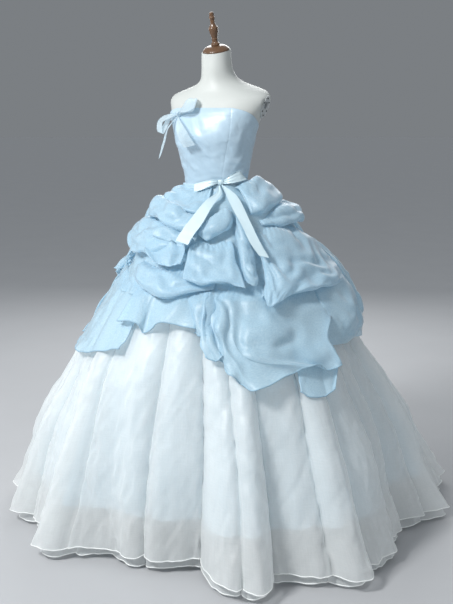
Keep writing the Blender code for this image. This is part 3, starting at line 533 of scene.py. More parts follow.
paint = Paint("turned_walnut")
where = paint.place()
bent = paint.noise(paint.stretched(where, (30, 30, 5)), 1.0, 3.0)
rings = paint.add("ShaderNodeTexWave", {"bands_direction": "X", "wave_profile": "SAW"}, {
    "Vector": paint.stretched(where, (1, 0.7, 0.12)), "Scale": 110.0, "Distortion": 5.0,
    "Detail": 3.0}, "Fac")
fibres = paint.noise(paint.stretched(where, (700, 700, 40)), 1.0, 2.0)
grain = rings * 0.5 + bent * 0.3 + fibres * 0.2
wood_tone = paint.blend(grain, rgb(0.040, 0.018, 0.008), rgb(0.20, 0.105, 0.050))
walnut = paint.show(paint.surface({
    "Base Color": wood_tone, "Roughness": fibres * 0.15 + 0.28, "Coat Weight": 0.35,
    "Normal": paint.bump(fibres * 0.5 + rings * 0.5, 0.3, 0.0004)}))
print("materials:", len(bpy.data.materials))

# %% [markdown]
# ## The form's body
# A dress form is one smooth moulded body under a tight cover. By hand, one would cut a cylinder into
# rings and push each ring out to the outline. The same is done here: bisect cuts the rings, the outline
# places them, and two more cuts make the flat armhole faces, whose edges are rounded with a bevel.


# %% Helpers for work in edit mode
def select_nothing():
    if bpy.context.object and bpy.context.object.mode == "EDIT":
        bpy.ops.object.mode_set(mode="OBJECT")
    bpy.ops.object.select_all(action="DESELECT")


def pick(piece, kind, test):
    """Select the vertices, edges or faces of a piece whose places pass a test, and open edit mode."""
    bpy.ops.object.mode_set(mode="EDIT")
    bpy.ops.mesh.select_mode(type=kind)
    bpy.ops.mesh.select_all(action="DESELECT")
    bpy.ops.object.mode_set(mode="OBJECT")
    places = [v.co for v in piece.data.vertices]
    items = {"VERT": piece.data.vertices, "EDGE": piece.data.edges, "FACE": piece.data.polygons}[kind]
    for item in items:
        corners = [item.co] if kind == "VERT" else [places[k] for k in item.vertices]
        item.select = all(test(corner) for corner in corners)
    bpy.ops.object.mode_set(mode="EDIT")


def settle(piece, name, material):
    """Leave edit mode, apply the piece's place to its mesh and give it its name and finish."""
    if piece.mode == "EDIT":
        bpy.ops.object.mode_set(mode="OBJECT")
    select_nothing()
    piece.select_set(True)
    bpy.context.view_layer.objects.active = piece
    bpy.ops.object.transform_apply(location=True, rotation=True, scale=True)
    piece.name = name
    piece.data.name = name
    piece.data.materials.clear()
    piece.data.materials.append(material)
    select_nothing()
    return piece


# %% Shape the body
TORSO_STEPS = 112
TORSO_RINGS = 74
NECK_TIP = 0.05                  # the top of the neck that tips forward
select_nothing()
bpy.ops.mesh.primitive_cylinder_add(vertices=TORSO_STEPS, radius=0.2, depth=TORSO_TOP_Z - TORSO_BOTTOM_Z,
                                    location=(0, 0, (TORSO_TOP_Z + TORSO_BOTTOM_Z) / 2))
torso = bpy.context.object
bpy.ops.object.transform_apply(location=True)
bpy.ops.object.mode_set(mode="EDIT")
for height in np.linspace(TORSO_BOTTOM_Z, TORSO_TOP_Z, TORSO_RINGS + 1)[1:-1]:
    bpy.ops.mesh.select_all(action="SELECT")
    bpy.ops.mesh.bisect(plane_co=(0, 0, height), plane_no=(0, 0, 1))
bpy.ops.object.mode_set(mode="OBJECT")
points = np.array([v.co for v in torso.data.vertices])
turns = np.degrees(np.arctan2(points[:, 0], -points[:, 1]))
shaped = polar(turns, body_radius(turns, points[:, 2]), points[:, 2])
half_width, set_back = table_curve(BODY, points[:, 2] - WAIST_Z)[:, [0, 3]].T
shaped[:, 1] += set_back * (shaped[:, 0] / half_width) ** 2
near_top = np.clip((points[:, 2] - TORSO_TOP_Z + NECK_TIP) / NECK_TIP, 0, 1)
shaped[:, 2] += shaped[:, 1] * near_top * math.tan(NECK_LEAN)
torso.data.vertices.foreach_set("co", shaped.ravel())
for side in (1, -1):
    bpy.ops.object.mode_set(mode="EDIT")
    bpy.ops.mesh.select_all(action="SELECT")
    bpy.ops.mesh.bisect(plane_co=(side * HALF_CUT, 0, PLATE_HEIGHT_Z), use_fill=True, clear_outer=True,
                        plane_no=(side * math.cos(ARMHOLE_TILT), 0, -math.sin(ARMHOLE_TILT)))
    bpy.ops.object.mode_set(mode="OBJECT")
settle(torso, "form_body", form_cover)
torso.data.shade_smooth()
bpy.context.view_layer.objects.active = torso
torso.select_set(True)
bpy.ops.object.shade_smooth_by_angle(angle=math.radians(40))
select_nothing()
stand_for(torso, "form_white", "form_torso")
print("body faces:", len(torso.data.polygons))

# %% [markdown]
# ## Turned wood
# The cap and the finial come off a lathe. A lathe piece is half its outline, spun round its own axis:
# one vertex is extruded along the outline and `spin` turns it, as the wood turns against the chisel.


# %% Turn the cap and the finial
def turned_piece(name, outline, material, lift, steps=48):
    """Spin an outline of (radius, height) and stand it on the neck's tipped top face."""
    select_nothing()
    bpy.ops.mesh.primitive_plane_add(size=1)
    piece = bpy.context.object
    bpy.ops.object.mode_set(mode="EDIT")
    bpy.ops.mesh.merge(type="CENTER")
    first = Vector((outline[0][0], 0, outline[0][1]))
    bpy.ops.transform.translate(value=first)
    for radius, height in outline[1:]:
        step = Vector((radius, 0, height)) - first
        bpy.ops.mesh.extrude_vertices_move(TRANSFORM_OT_translate={"value": step})
        first += step
    bpy.ops.mesh.select_all(action="SELECT")
    bpy.ops.mesh.spin(steps=steps, angle=2 * math.pi, center=(0, 0, 0), axis=(0, 0, 1))
    bpy.ops.mesh.select_all(action="SELECT")
    bpy.ops.mesh.remove_doubles(threshold=0.00005)
    bpy.ops.mesh.normals_make_consistent(inside=False)
    bpy.ops.object.mode_set(mode="OBJECT")
    piece.rotation_euler = (NECK_LEAN, 0, 0)
    piece.location = (0, -math.sin(NECK_LEAN) * lift, TORSO_TOP_Z + math.cos(NECK_LEAN) * lift)
    settle(piece, name, material)
    piece.data.shade_smooth()
    print("%s: %d faces" % (name, len(piece.data.polygons)))
    return piece


def spline_rows(points, count):
    """Smooth curves through the rows of an array of control points (Catmull-Rom, straight ends)."""
    points = np.asarray(points, float)
    padded = np.concatenate([[2 * points[0] - points[1]], points, [2 * points[-1] - points[-2]]])
    s = np.linspace(0, len(points) - 1, count)
    k = np.minimum(s.astype(int), len(points) - 2)
    t = (s - k).reshape((-1,) + (1,) * (points.ndim - 1))
    p0, p1, p2, p3 = padded[k], padded[k + 1], padded[k + 2], padded[k + 3]
    return 0.5 * (2 * p1 + (p2 - p0) * t + (2 * p0 - 5 * p1 + 4 * p2 - p3) * t**2
                  + (3 * p1 - p0 - 3 * p2 + p3) * t**3)


def rounded_outline(text, per_step=5):
    """A smooth outline through the chisel's turning points, each a radius and a height in millimetres."""
    points = [metres(point) for point in text.split(",")]
    smooth = spline_rows(points, (len(points) - 1) * per_step + 1)
    smooth[:, 0] = np.maximum(smooth[:, 0], 0)
    return [tuple(p) for p in smooth]


SEAM_GAP = 0.0003
CAP_HEIGHT = 0.019
cap_dome = rounded_outline("20 19, 30 17.2, 39 12.2, 45.2 6.5, 47 3")
cap_outline = ([(0, CAP_HEIGHT), (0.012, CAP_HEIGHT)] + cap_dome
               + [(0.0468, 0.001), (0.046, 0), (0.03, 0), (0, 0)])
neck_cap = turned_piece("neck_cap_wood", cap_outline, walnut, SEAM_GAP, 64)
stand_for(neck_cap, "wood", "form_neck_cap")

stub = rounded_outline("0 112.5, 5.8 111.5, 7.7 108, 8 100, 7.8 98.5")
ball = rounded_outline("7.8 98.5, 9.9 95.5, 9.9 91.5, 7.9 88.5")
stem = [(0.0076, 0.0880), (0.0080, 0.0840), (0.0080, 0.0740)]
vase = (rounded_outline("8.5 72.2, 12.2 65, 15.6 61.2")
        + rounded_outline("16.2 60, 16.4 57.5, 16 53, 14.2 43, 11.3 32, 9.3 25.5"))
foot = (rounded_outline("9.4 25, 11 22.6, 9.8 20.2")
        + rounded_outline("9.7 19.8, 9.8 14, 11.2 10.5, 14.5 7.2, 15.3 4.8, 14.8 0"))
finial_outline = stub + ball[1:] + stem + vase + foot + [(0, 0)]
finial = turned_piece("finial_wood", finial_outline, walnut, CAP_HEIGHT + 2 * SEAM_GAP, 40)
stand_for(finial, "wood", "form_finial")

# %% [markdown]
# ## Armhole plates
# Each armhole is closed by a bright oval plate with a shallow socket, where an arm would be hung, and six
# small screws. The socket's dark metal is painted shade for its shallow recess. All three are discs whose
# top face is inset and sunk in steps, squeezed to an oval where they need it. Each is made once, lying
# flat at the middle, and its copies are then stood on the armholes' tilted faces.


# %% Make the armhole plates
PLATE_SIZE = (0.039, 0.024)      # half height, half width
PLATE_THICKNESS = 0.003
PLATE_Y = 0.026
PLATE_STEPS = ((0.003, 0), (0.001, -0.0006), (0.019, -0.0004))
FITTING_LIFT = PLATE_THICKNESS - 0.0010      # the socket and the screws are let into the plate
SCREWS = 6
SCREW_RING = 0.76                            # of the plate's own size


def armhole_frame(side):
    """The place and turn of one armhole face: its X looks up, its Z looks out."""
    up = Vector((side * math.sin(ARMHOLE_TILT), 0, math.cos(ARMHOLE_TILT)))
    out = Vector((side * math.cos(ARMHOLE_TILT), 0, -math.sin(ARMHOLE_TILT)))
    turn = Matrix((up, Vector((0, -side, 0)), out)).transposed().to_4x4()
    return Matrix.Translation(Vector((side * HALF_CUT, PLATE_Y, PLATE_HEIGHT_Z)) + out * SEAM_GAP) @ turn


def flat_disc(radius, thickness, lift, steps, insets, oval=1.0, shift=(0, 0)):
    """A disc whose top face is inset and moved in steps of (width, move), made lying flat."""
    select_nothing()
    bpy.ops.mesh.primitive_cylinder_add(vertices=steps, radius=radius, depth=thickness)
    disc = bpy.context.object
    pick(disc, "FACE", lambda p: p.z > thickness / 2 - 1e-6)
    for width, move in insets:
        bpy.ops.mesh.inset(thickness=width)
        bpy.ops.transform.translate(value=(0, 0, move))
    bpy.ops.mesh.select_all(action="SELECT")
    bpy.ops.transform.resize(value=(1, oval, 1), center_override=(0, 0, 0))
    bpy.ops.transform.translate(value=(shift[0], shift[1], lift + thickness / 2))
    bpy.ops.object.mode_set(mode="OBJECT")
    return disc


def copied(pattern, name, matrix, material):
    """A copy of a fitting, with its own mesh, stood at its place."""
    piece = pattern.copy()
    piece.data = pattern.data.copy()
    bpy.context.scene.collection.objects.link(piece)
    piece.matrix_world = matrix
    return settle(piece, name, material)


plate = flat_disc(PLATE_SIZE[0], PLATE_THICKNESS, 0, 64, PLATE_STEPS, PLATE_SIZE[1] / PLATE_SIZE[0])
edge = plate.modifiers.new("edge", "BEVEL")
edge.width = 0.0005
edge.segments = 2
bpy.ops.object.modifier_apply(modifier="edge")
socket = flat_disc(0.0125, 0.0012, FITTING_LIFT, 40, ((0.0012, 0), (0.004, -0.0007)), 0.62, (0.006, 0))
screw = flat_disc(0.0027, 0.0014, FITTING_LIFT, 20, ((0.0006, 0), (0.0004, -0.0004)))
for side, word in ((1, "left"), (-1, "right")):
    face = armhole_frame(side)
    cover = copied(plate, "armhole_cover_" + word, face, plate_face)
    stand_for(cover, "plate_metal", "armhole_plate_" + word)
    stand_for(copied(socket, "arm_socket_" + word, face, socket_metal_painted_shade), "plate_metal")
    for k in range(SCREWS):
        turn = 2 * math.pi * k / SCREWS
        shift = Vector((PLATE_SIZE[0] * math.cos(turn), PLATE_SIZE[1] * math.sin(turn), 0)) * SCREW_RING
        name = "plate_screw_%s_%d" % (word, k + 1)
        stand_for(copied(screw, name, face @ Matrix.Translation(shift), dark_metal), "plate_metal")
for pattern in (plate, socket, screw):
    bpy.data.objects.remove(pattern)
print("plates stand at z %.3f" % PLATE_HEIGHT_Z)

# %% [markdown]
# ## The stand
# The base and the pole are hidden by the skirts, and their CAD shapes are right as they are, so they only
# get a painted finish.

# %% Paint the stand
for node in ("stand_base", "stand_pole"):
    stand_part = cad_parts[node]
    for k in range(len(stand_part.data.materials)):
        stand_part.data.materials[k] = stand_paint
print("stand painted")

# %% [markdown]
# ## Working in cloth
# All cloth here is curved sheets: a grid of points, drawn smoothly through a cage of a few, and then
# pushed straight out of the sheet into ripples, seams and folds. A hem is a thin tube along the last row.
# `crumple` gives a sheet to Blender's Cloth, which finds the creases. These helpers serve the bodice, the
# skirts, the billows and the bows.


# %% Sheets through a cage
def sheet_through(cage, rows, columns):
    """A grid of points on a smooth sheet through a cage of control points."""
    across = np.stack([spline_rows(row, columns) for row in cage])
    return spline_rows(across, rows)


def unit(arrows):
    """The same directions, at length 1."""
    return arrows / np.maximum(np.linalg.norm(arrows, axis=-1, keepdims=True), 1e-9)


def outward(grid):
    """The directions straight out of a sheet, on its outer side."""
    return unit(np.cross(np.gradient(grid, axis=0), np.gradient(grid, axis=1)))


def outward_ring(grid):
    """The directions away from the pole."""
    return unit(grid * (1, 1, 0))


def push_out(grid, push):
    return grid + outward(grid) * push[..., None]


def ripples(grid, size, height, seed, share=(1, 1, 1)):
    """Smooth noise over a sheet's places, for small creases; size is the wave in metres."""
    flat = grid.reshape(-1, 3) * np.array(share) / size + seed * 7.31
    waves = np.array([noise.noise(Vector(p)) for p in flat]).reshape(grid.shape[:2])
    return waves * height


# %% Hems and edges
HEM_SIDES = 6


def hem_roll(name, line, radius, material, closed=True):
    """A tube along a hem, with its own UV map in metres."""
    ahead = np.roll(line, -1, 0) - np.roll(line, 1, 0)
    if not closed:
        ahead[0], ahead[-1] = line[1] - line[0], line[-1] - line[-2]
    ahead = unit(ahead)
    side = unit(np.cross(ahead, (0, 0, 1)))
    up = np.cross(side, ahead)
    turns = np.radians(np.arange(0, 360, 360 // HEM_SIDES))
    tube = np.stack([line + radius * (np.cos(a) * side + np.sin(a) * up) for a in turns], 0)
    count = len(line)
    runs = range(count if closed else count - 1)
    square = ((0, 0), (0, 1), (1, 1), (1, 0))
    faces = [tuple((i + di) % HEM_SIDES * count + (j + dj) % count for di, dj in square)
             for i in range(HEM_SIDES) for j in runs]
    if not closed:
        faces += [tuple(i * count for i in range(HEM_SIDES)),
                  tuple(i * count + count - 1 for i in range(HEM_SIDES - 1, -1, -1))]
    piece = mesh_piece(name, tube.reshape(-1, 3), faces, material)
    along = lengths_along(line)
    along = np.append(along, along[-1] + np.linalg.norm(line[0] - line[-1]))
    flat = [((i + di) * radius, along[j + dj]) for i in range(HEM_SIDES) for j in runs for di, dj in square]
    if not closed:
        flat += [(0, 0)] * (2 * HEM_SIDES)
    piece.data.uv_layers.new(name="cloth").data.foreach_set("uv", np.array(flat, float).ravel())
    return piece


# %% Let a sheet find its own creases
CLOTH = {"quality": 4, "mass": 0.05, "air_damping": 4, "tension_stiffness": 40,
         "compression_stiffness": 40, "shear_stiffness": 20}
GRAVITY_SHARE = 0.3              # organza is stiff, so only a part of its weight pulls on it


def crumple(grid, held, wider, longer, bending, seed=0, frames=12, start=0.004, upright=1.0):
    """Cloth that was cut larger than its space buckles into creases. Blender's Cloth finds them.

    held gives each point's hold on its place, from 0, free, to 1, sewn down. wider and longer say how
    much larger the cut is than the space; upright stretches the first ripples along the fall.
    """
    rippled = push_out(grid, ripples(grid, 0.05, start, seed, (1, 1, upright)))
    sheet = cloth_piece("crumpling", rippled, bodice_satin)
    sheet.shape_key_add(name="now")
    cut = sheet.shape_key_add(name="cut")
    size = np.array((1 + wider, 1 + wider, 1 + longer))
    cut.data.foreach_set("co", (rippled * size).ravel())
    cut.value = 0
    group = sheet.vertex_groups.new(name="held")
    for k, weight in enumerate(held.ravel()):
        group.add([k], float(weight), "REPLACE")
    cloth = sheet.modifiers.new("cloth", "CLOTH")
    for setting, value in CLOTH.items():
        setattr(cloth.settings, setting, value)
    cloth.settings.bending_stiffness = bending
    cloth.settings.vertex_group_mass = "held"
    cloth.settings.rest_shape_key = cut
    cloth.settings.effector_weights.gravity = GRAVITY_SHARE
    cloth.collision_settings.use_collision = False
    cloth.point_cache.frame_start = 1
    cloth.point_cache.frame_end = frames
    for moment in range(1, frames + 1):
        bpy.context.scene.frame_set(moment)
    found = sheet.evaluated_get(bpy.context.evaluated_depsgraph_get()).data
    places = np.zeros(grid.size)
    found.vertices.foreach_get("co", places)
    bpy.context.scene.frame_set(1)
    bpy.data.meshes.remove(sheet.data)
    return places.reshape(grid.shape)


def hold(rows, columns, inside, top=1.0, bottom=1.0, left=1.0, right=1.0):
    """How firmly each point of a sheet is held: along each edge, and inside."""
    held = np.full((rows, columns), inside)
    held[:, 0], held[:, -1] = right, left
    held[-1] = bottom
    held[0] = top
    return held


def finer(grid, times=2):
    """The same sheet with more points."""
    rows, columns = grid.shape[:2]
    wide = np.swapaxes(spline_rows(np.swapaxes(grid, 0, 1), (columns - 1) * times + 1), 0, 1)
    return spline_rows(wide, (rows - 1) * times + 1)


def relaxed(grid, times):
    """Let go of the smallest dents."""
    for _ in range(times):
        beside = (grid[:-2, 1:-1] + grid[2:, 1:-1] + grid[1:-1, :-2] + grid[1:-1, 2:]) / 4
        grid = grid.copy()
        grid[1:-1, 1:-1] = (grid[1:-1, 1:-1] + beside) / 2
    return grid


def crisp_creases(grid, size, depth, seed):
    """Thin slanting ridges, as stiff cloth takes them."""
    rise = grid[..., 2:]
    one = 0.3 - np.abs(ripples(grid + rise * (0.6, 0.6, 0), size, 1.0, seed, (1, 1, 0.3)))
    two = 0.3 - np.abs(ripples(grid - rise * (0.5, 0.5, 0), size * 0.6, 1.0, seed + 1, (1, 1, 0.3)))
    return (one + two) * depth


def keep_clear(grid, least):
    """Push a sheet's points out to the least radius that each may have."""
    radius = np.linalg.norm(grid[..., :2], axis=-1)
    grid = grid.copy()
    grid[..., :2] *= (np.maximum(radius, least) / radius)[..., None]
    return grid


# %% [markdown]
# ## The bodice
# Seven satin panels are shaped over the form like a second skin. Each is a fine curved sheet. Its seams
# are drawn in, small puckers and slanting creases stand up between them, and the waist is drawn into
# soft cross folds. The creases only ever stand outwards, so the form never shows through. A narrow
# binding closes the top edge.

# %% Make the bodice panels
FRONT_SEAM, SIDE_SEAM, BACK_SEAM, CLOSING = (40, 52), (90, 92), (140, 140), (180, 180)
PANELS = {
    "side_front": (FRONT_SEAM, SIDE_SEAM),
    "side_back": (SIDE_SEAM, BACK_SEAM),
    "back": (BACK_SEAM, CLOSING),
}
BODICE_EASE = 0.0025
BODICE_ROWS = 70
BODICE_BOTTOM_Z = WAIST_Z - 0.002
BUST_EDGE_Z = WAIST_Z + 0.262
BACK_DROP = 0.078                # how much lower the top edge lies at the back
COLUMNS_PER_DEGREE = 1.25


def neckline(degrees):
    """Height of the top edge: level across the bust, lower under the arms and at the back."""
    turn = np.abs((degrees + 180) % 360 - 180)
    return BUST_EDGE_Z - BACK_DROP * smooth_step(turn, 50, 125)


def mirrored(seam):
    return (-seam[0], -seam[1])


cuts = {"bodice_front": (mirrored(FRONT_SEAM), FRONT_SEAM)}
for part, (start, end) in PANELS.items():
    cuts["bodice_%s_left" % part] = (start, end)
    cuts["bodice_%s_right" % part] = (mirrored(end), mirrored(start))
for name, (first, last) in cuts.items():
    v = np.linspace(1, 0, BODICE_ROWS)[:, None]
    start = first[0] + (first[1] - first[0]) * v
    end = last[0] + (last[1] - last[0]) * v
    u = np.linspace(0, 1, int((last[0] - first[0]) * COLUMNS_PER_DEGREE) + 1)[None, :]
    turns = start + (end - start) * u
    height = BODICE_BOTTOM_Z + (neckline(turns) - BODICE_BOTTOM_Z) * v
    radius = seam_radius(turns, height, 0) + BODICE_EASE * np.sin(0.8 * math.pi * v)
    grid = polar(turns, radius, height)
    to_seam = np.minimum(turns - start, end - turns) / 180 * math.pi * radius
    room = np.sin(math.pi * np.clip(v, 0, 1)) ** 0.5
    creases = ripples(grid, 0.024, 0.0050, 3, (0.5, 0.5, 1.6)) * np.exp(-v * 3.5)
    slanting = grid + grid[..., 2:] * (0.5, -0.5, 0)
    creases = creases + ripples(slanting, 0.040, 0.0055, 9, (1.2, 1.2, 0.5))
    pucker = ripples(grid, 0.010, 0.0014, 5, (0.3, 0.3, 1)) * np.exp(-to_seam / 0.010)
    seam = -0.0007 * np.exp(-((to_seam / 0.0022) ** 2)) + 0.0005 * smooth_step(v, 0.925, 0.94)
    stand_off = np.maximum((creases + pucker + 0.0016) * room, 0) + seam
    grid = push_out(grid, stand_off)
    panel = cloth_piece("satin_" + name, grid, bodice_satin)
    stand_for(panel, "satin_blue", name)
    declare_sheet(panel, grid)

turns = np.linspace(-180, 180, 480, endpoint=False)
edge = polar(turns, seam_radius(turns, neckline(turns), 0), neckline(turns))
binding = hem_roll("bodice_binding", edge, 0.0013, bodice_satin)
stand_for(binding, "satin_blue")

# %% [markdown]
# ## The skirts
# Under the blue organza lie three skirts: a satin lining, and two of white organza whose hems are rolled
# over a stiff cord, so they stand in deep organ folds. Each layer is one tube of cloth. Its radius is the
# petticoat's dome, pushed out into round columns with narrow valleys between them, which open towards the
# hem. All three share the columns, so no layer cuts through another. The two of organza add ripples and
# slanting creases of their own.


# %% Skirt outlines
SKIRT_TOP_Z = WAIST_Z + 0.002
LINING_HEM_Z = 0.165
INNER_HEM_Z = 0.014
OUTER_HEM_Z = 0.045
TOWARDS_WAIST = 0.9              # rows lie closer together near the waist
COLUMN_DEPTH = 0.048             # from valley to crest at the hem, in a usual column


def degree_table(text):
    """Points of a row: degrees round the pole, then lengths in millimetres."""
    return [[float(point.split()[0])] + metres(point.split(maxsplit=1)[1]) for point in text.split(",")]


def once_round(values, turn=0.0):
    """A ring of values that also starts with its last one and ends with its first one."""
    return np.concatenate([[values[-1] - turn], values, [values[0] + turn]])


def stretch_of(ring, degrees):
    """Which stretch of a ring of angles each angle lies in, how far along it and how wide it is."""
    turned = (degrees + 180) % 360 - 180
    k = np.clip(np.searchsorted(ring, turned) - 1, 0, len(ring) - 2)
    return k, turned - ring[k], ring[k + 1] - ring[k]


# The great folds of the white skirts at the hem: each crest or valley and how far it stands out.
HEM_FOLDS = np.array(degree_table("""
-170 70, -157 -70, -143 80, -131 -60, -118 60, -106 -70, -95 50, -83 -50, -70 50, -61 -30, -51 50,
-43 10, -36 -30, -21 90, -7 -100, 5 -40, 20 -120, 38 130, 49 -20, 63 100, 80 -20, 99 -120, 112 0,
119 -70, 135 60, 148 -60, 162 70, 175 -50
"""))
FOLD_TURNS = once_round(HEM_FOLDS[:, 0], 360)
FOLD_OFFSETS = once_round(HEM_FOLDS[:, 1])

# Where the narrow valleys between the organ folds lie, in degrees round the pole.
VALLEYS = once_round(np.array((
    -174, -158, -148, -133, -124, -107, -97, -84, -73, -61, -52, -44, -29, -17, 6, 25, 36, 45, 59, 69, 87,
    98, 107, 122, 131, 147, 156, 171), float), 360)


def hem_fold(degrees):
    """How far the great folds stand out at the hem."""
    k, past, wide = stretch_of(FOLD_TURNS, degrees)
    ease = (1 - np.cos(math.pi * (past / wide))) / 2
    return FOLD_OFFSETS[k] + (FOLD_OFFSETS[k + 1] - FOLD_OFFSETS[k]) * ease


def skirt_radius(degrees, height, inset):
    """A white skirt: narrow at the waist, on the dome below, with folds that open towards the hem."""
    drop = np.clip((WAIST_Z - height) / WAIST_Z, 0, 1)
    fold = hem_fold(degrees) * np.clip((drop - 0.25) / 0.75, 0, 1) ** 1.3
    tuck = inset * np.minimum(1.0, drop / 0.08)
    return dome_radius(degrees, height) + fold - tuck - 12 * tuck * np.maximum(fold, 0)


def organ_fold(degrees):
    """Round columns with narrow valleys between them, wider ones deeper."""
    _, past, wide = stretch_of(VALLEYS, degrees)
    across = np.sin(math.pi * past / wide)
    return (wide / 11) ** 0.7 * (np.abs(across) ** 0.6 - 0.62)


def skirt_grid(level, hem, inset, rows, columns, seed=0, crisp=1.0):
    """A skirt's tube: the great folds, finer upright folds, slanting creases and a hem that waves."""
    turns = np.linspace(-180, 180, columns, endpoint=False)[None, :]
    v = np.linspace(0, 1, rows)[:, None]
    height = SKIRT_TOP_Z + (hem - SKIRT_TOP_Z) * v ** TOWARDS_WAIST
    grid = polar(turns, waist_blend(turns, height, level, skirt_radius(turns, height, inset)), height)
    open_part = smooth_step(v, 0.10, 0.45)
    sway = turns + 2.2 * np.sin(6 * height + turns / 9) * (1 - v)
    shared = COLUMN_DEPTH * organ_fold(sway) * open_part * (0.35 + 0.65 * v)
    shared = shared + ripples(grid, 0.09, 0.010, 11, (1, 1, 0.2)) * open_part
    own = ripples(grid, 0.030, 0.0030, seed, (1, 1, 0.16)) + crisp_creases(grid, 0.060, 0.008, seed + 4)
    hem_wave = ripples(grid, 0.05, 0.014, seed + 6, (1, 1, 0)) * smooth_step(v, 0.84, 1.0)
    push = shared + crisp * (open_part * own + hem_wave)
    grid = grid + outward_ring(grid) * push[..., None]
    grid[..., 2] += crisp * ripples(grid, 0.06, 0.008, seed + 8, (1, 1, 0)) * smooth_step(v, 0.86, 1.0)
    return grid


# %% Make the three skirts
# Each skirt: its level at the waist, hem height, how far it lies inside the outer one, cloth, slot, rows
# and columns of its grid, and how crisp its cloth is.
SKIRTS = {
    "lining_skirt": (1, LINING_HEM_Z, 0.040, lining_satin, "satin_lining", 60, 720, 0.5),
    "inner_skirt": (2, INNER_HEM_Z, 0.020, white_organza, "organza_white", 90, 900, 0.8),
    "outer_skirt": (3, OUTER_HEM_Z, 0.0, white_organza, "organza_white", 88, 1100, 1.0),
}
for seed, (name, row) in enumerate(SKIRTS.items()):
    level, hem, inset, material, slot, rows, columns, crisp = row
    grid = skirt_grid(level, hem, inset, rows, columns, 20 * seed, crisp)
    skirt = cloth_piece(name.replace("skirt", "tube"), grid, material, closed=True)
    stand_for(skirt, slot, *[name + "_%d" % k for k in range(1, 5)])
    if material is white_organza:
        roll = hem_roll(name.replace("skirt", "hem_roll"), grid[-1], 0.0020, white_cord)
        stand_for(roll, slot)
    declare_sheet(skirt, grid, closed=True)

# How far out the outer skirt's crests reach, as a smooth outline that the billows stay clear of.
outer_reach = np.linalg.norm(grid[..., :2], axis=2)
for shift in (4, 8):
    outer_reach = np.max([np.roll(outer_reach, k, 1) for k in (-shift, 0, shift)], 0)
for _ in range(12):
    outer_reach = sum(np.roll(outer_reach, k, 1) for k in (-2, -1, 0, 1, 2)) / 5
    outer_reach[1:-1] = (outer_reach[:-2] + outer_reach[1:-1] + outer_reach[2:]) / 3

print("the outer skirt reaches %.3f m" % outer_reach.max())

# %% The overskirt's base
CORE_HEM_Z = 0.855
BASE_EASE = 0.008                # how far the base lies outside the dome


def base_radius(degrees, height):
    return waist_blend(degrees, height, 4, dome_radius(degrees, height) + BASE_EASE)


turns = np.linspace(-60, 300, 300, endpoint=False)[None, :]
height = np.linspace(SKIRT_TOP_Z, CORE_HEM_Z, 40)[:, None]
grid = polar(turns, base_radius(turns, height), height)
puffs = np.abs(ripples(grid, 0.05, 0.022, 4)) * smooth_step(1.19 - height, 0, 0.04)
grid = grid + outward_ring(grid) * puffs[..., None]
base = cloth_piece("overskirt_under", grid, blue_organza, closed=True)
stand_for(base, "organza_blue", "overskirt_base_left", "overskirt_base_right")
declare_sheet(base, grid, closed=True)

# %% [markdown]
# ## The picked-up billows
# The overskirt is cut long and caught up by hand, so it falls in billows, swags and drapes. Each is a sheet
# through a cage of a few points. A cage's rows run from top to bottom, and the points of a row from the
# wearer's right to the left. A point is its degrees round the pole, its height, and its distance outside
# the petticoat's dome, both in millimetres. A row that ends with a comma goes on in the next line. Two
# small bunches and three gathered strips fill the hollows between neighbouring billows.

# %% Cages of the billows
def cages(text):
    """Read a name and the rows of its cage from each block of a table."""
    blocks = [block.split("\n") for block in text.strip().replace(",\n", ", ").split("\n\n")]
    return {name: [degree_table(row) for row in rows] for name, *rows in blocks}


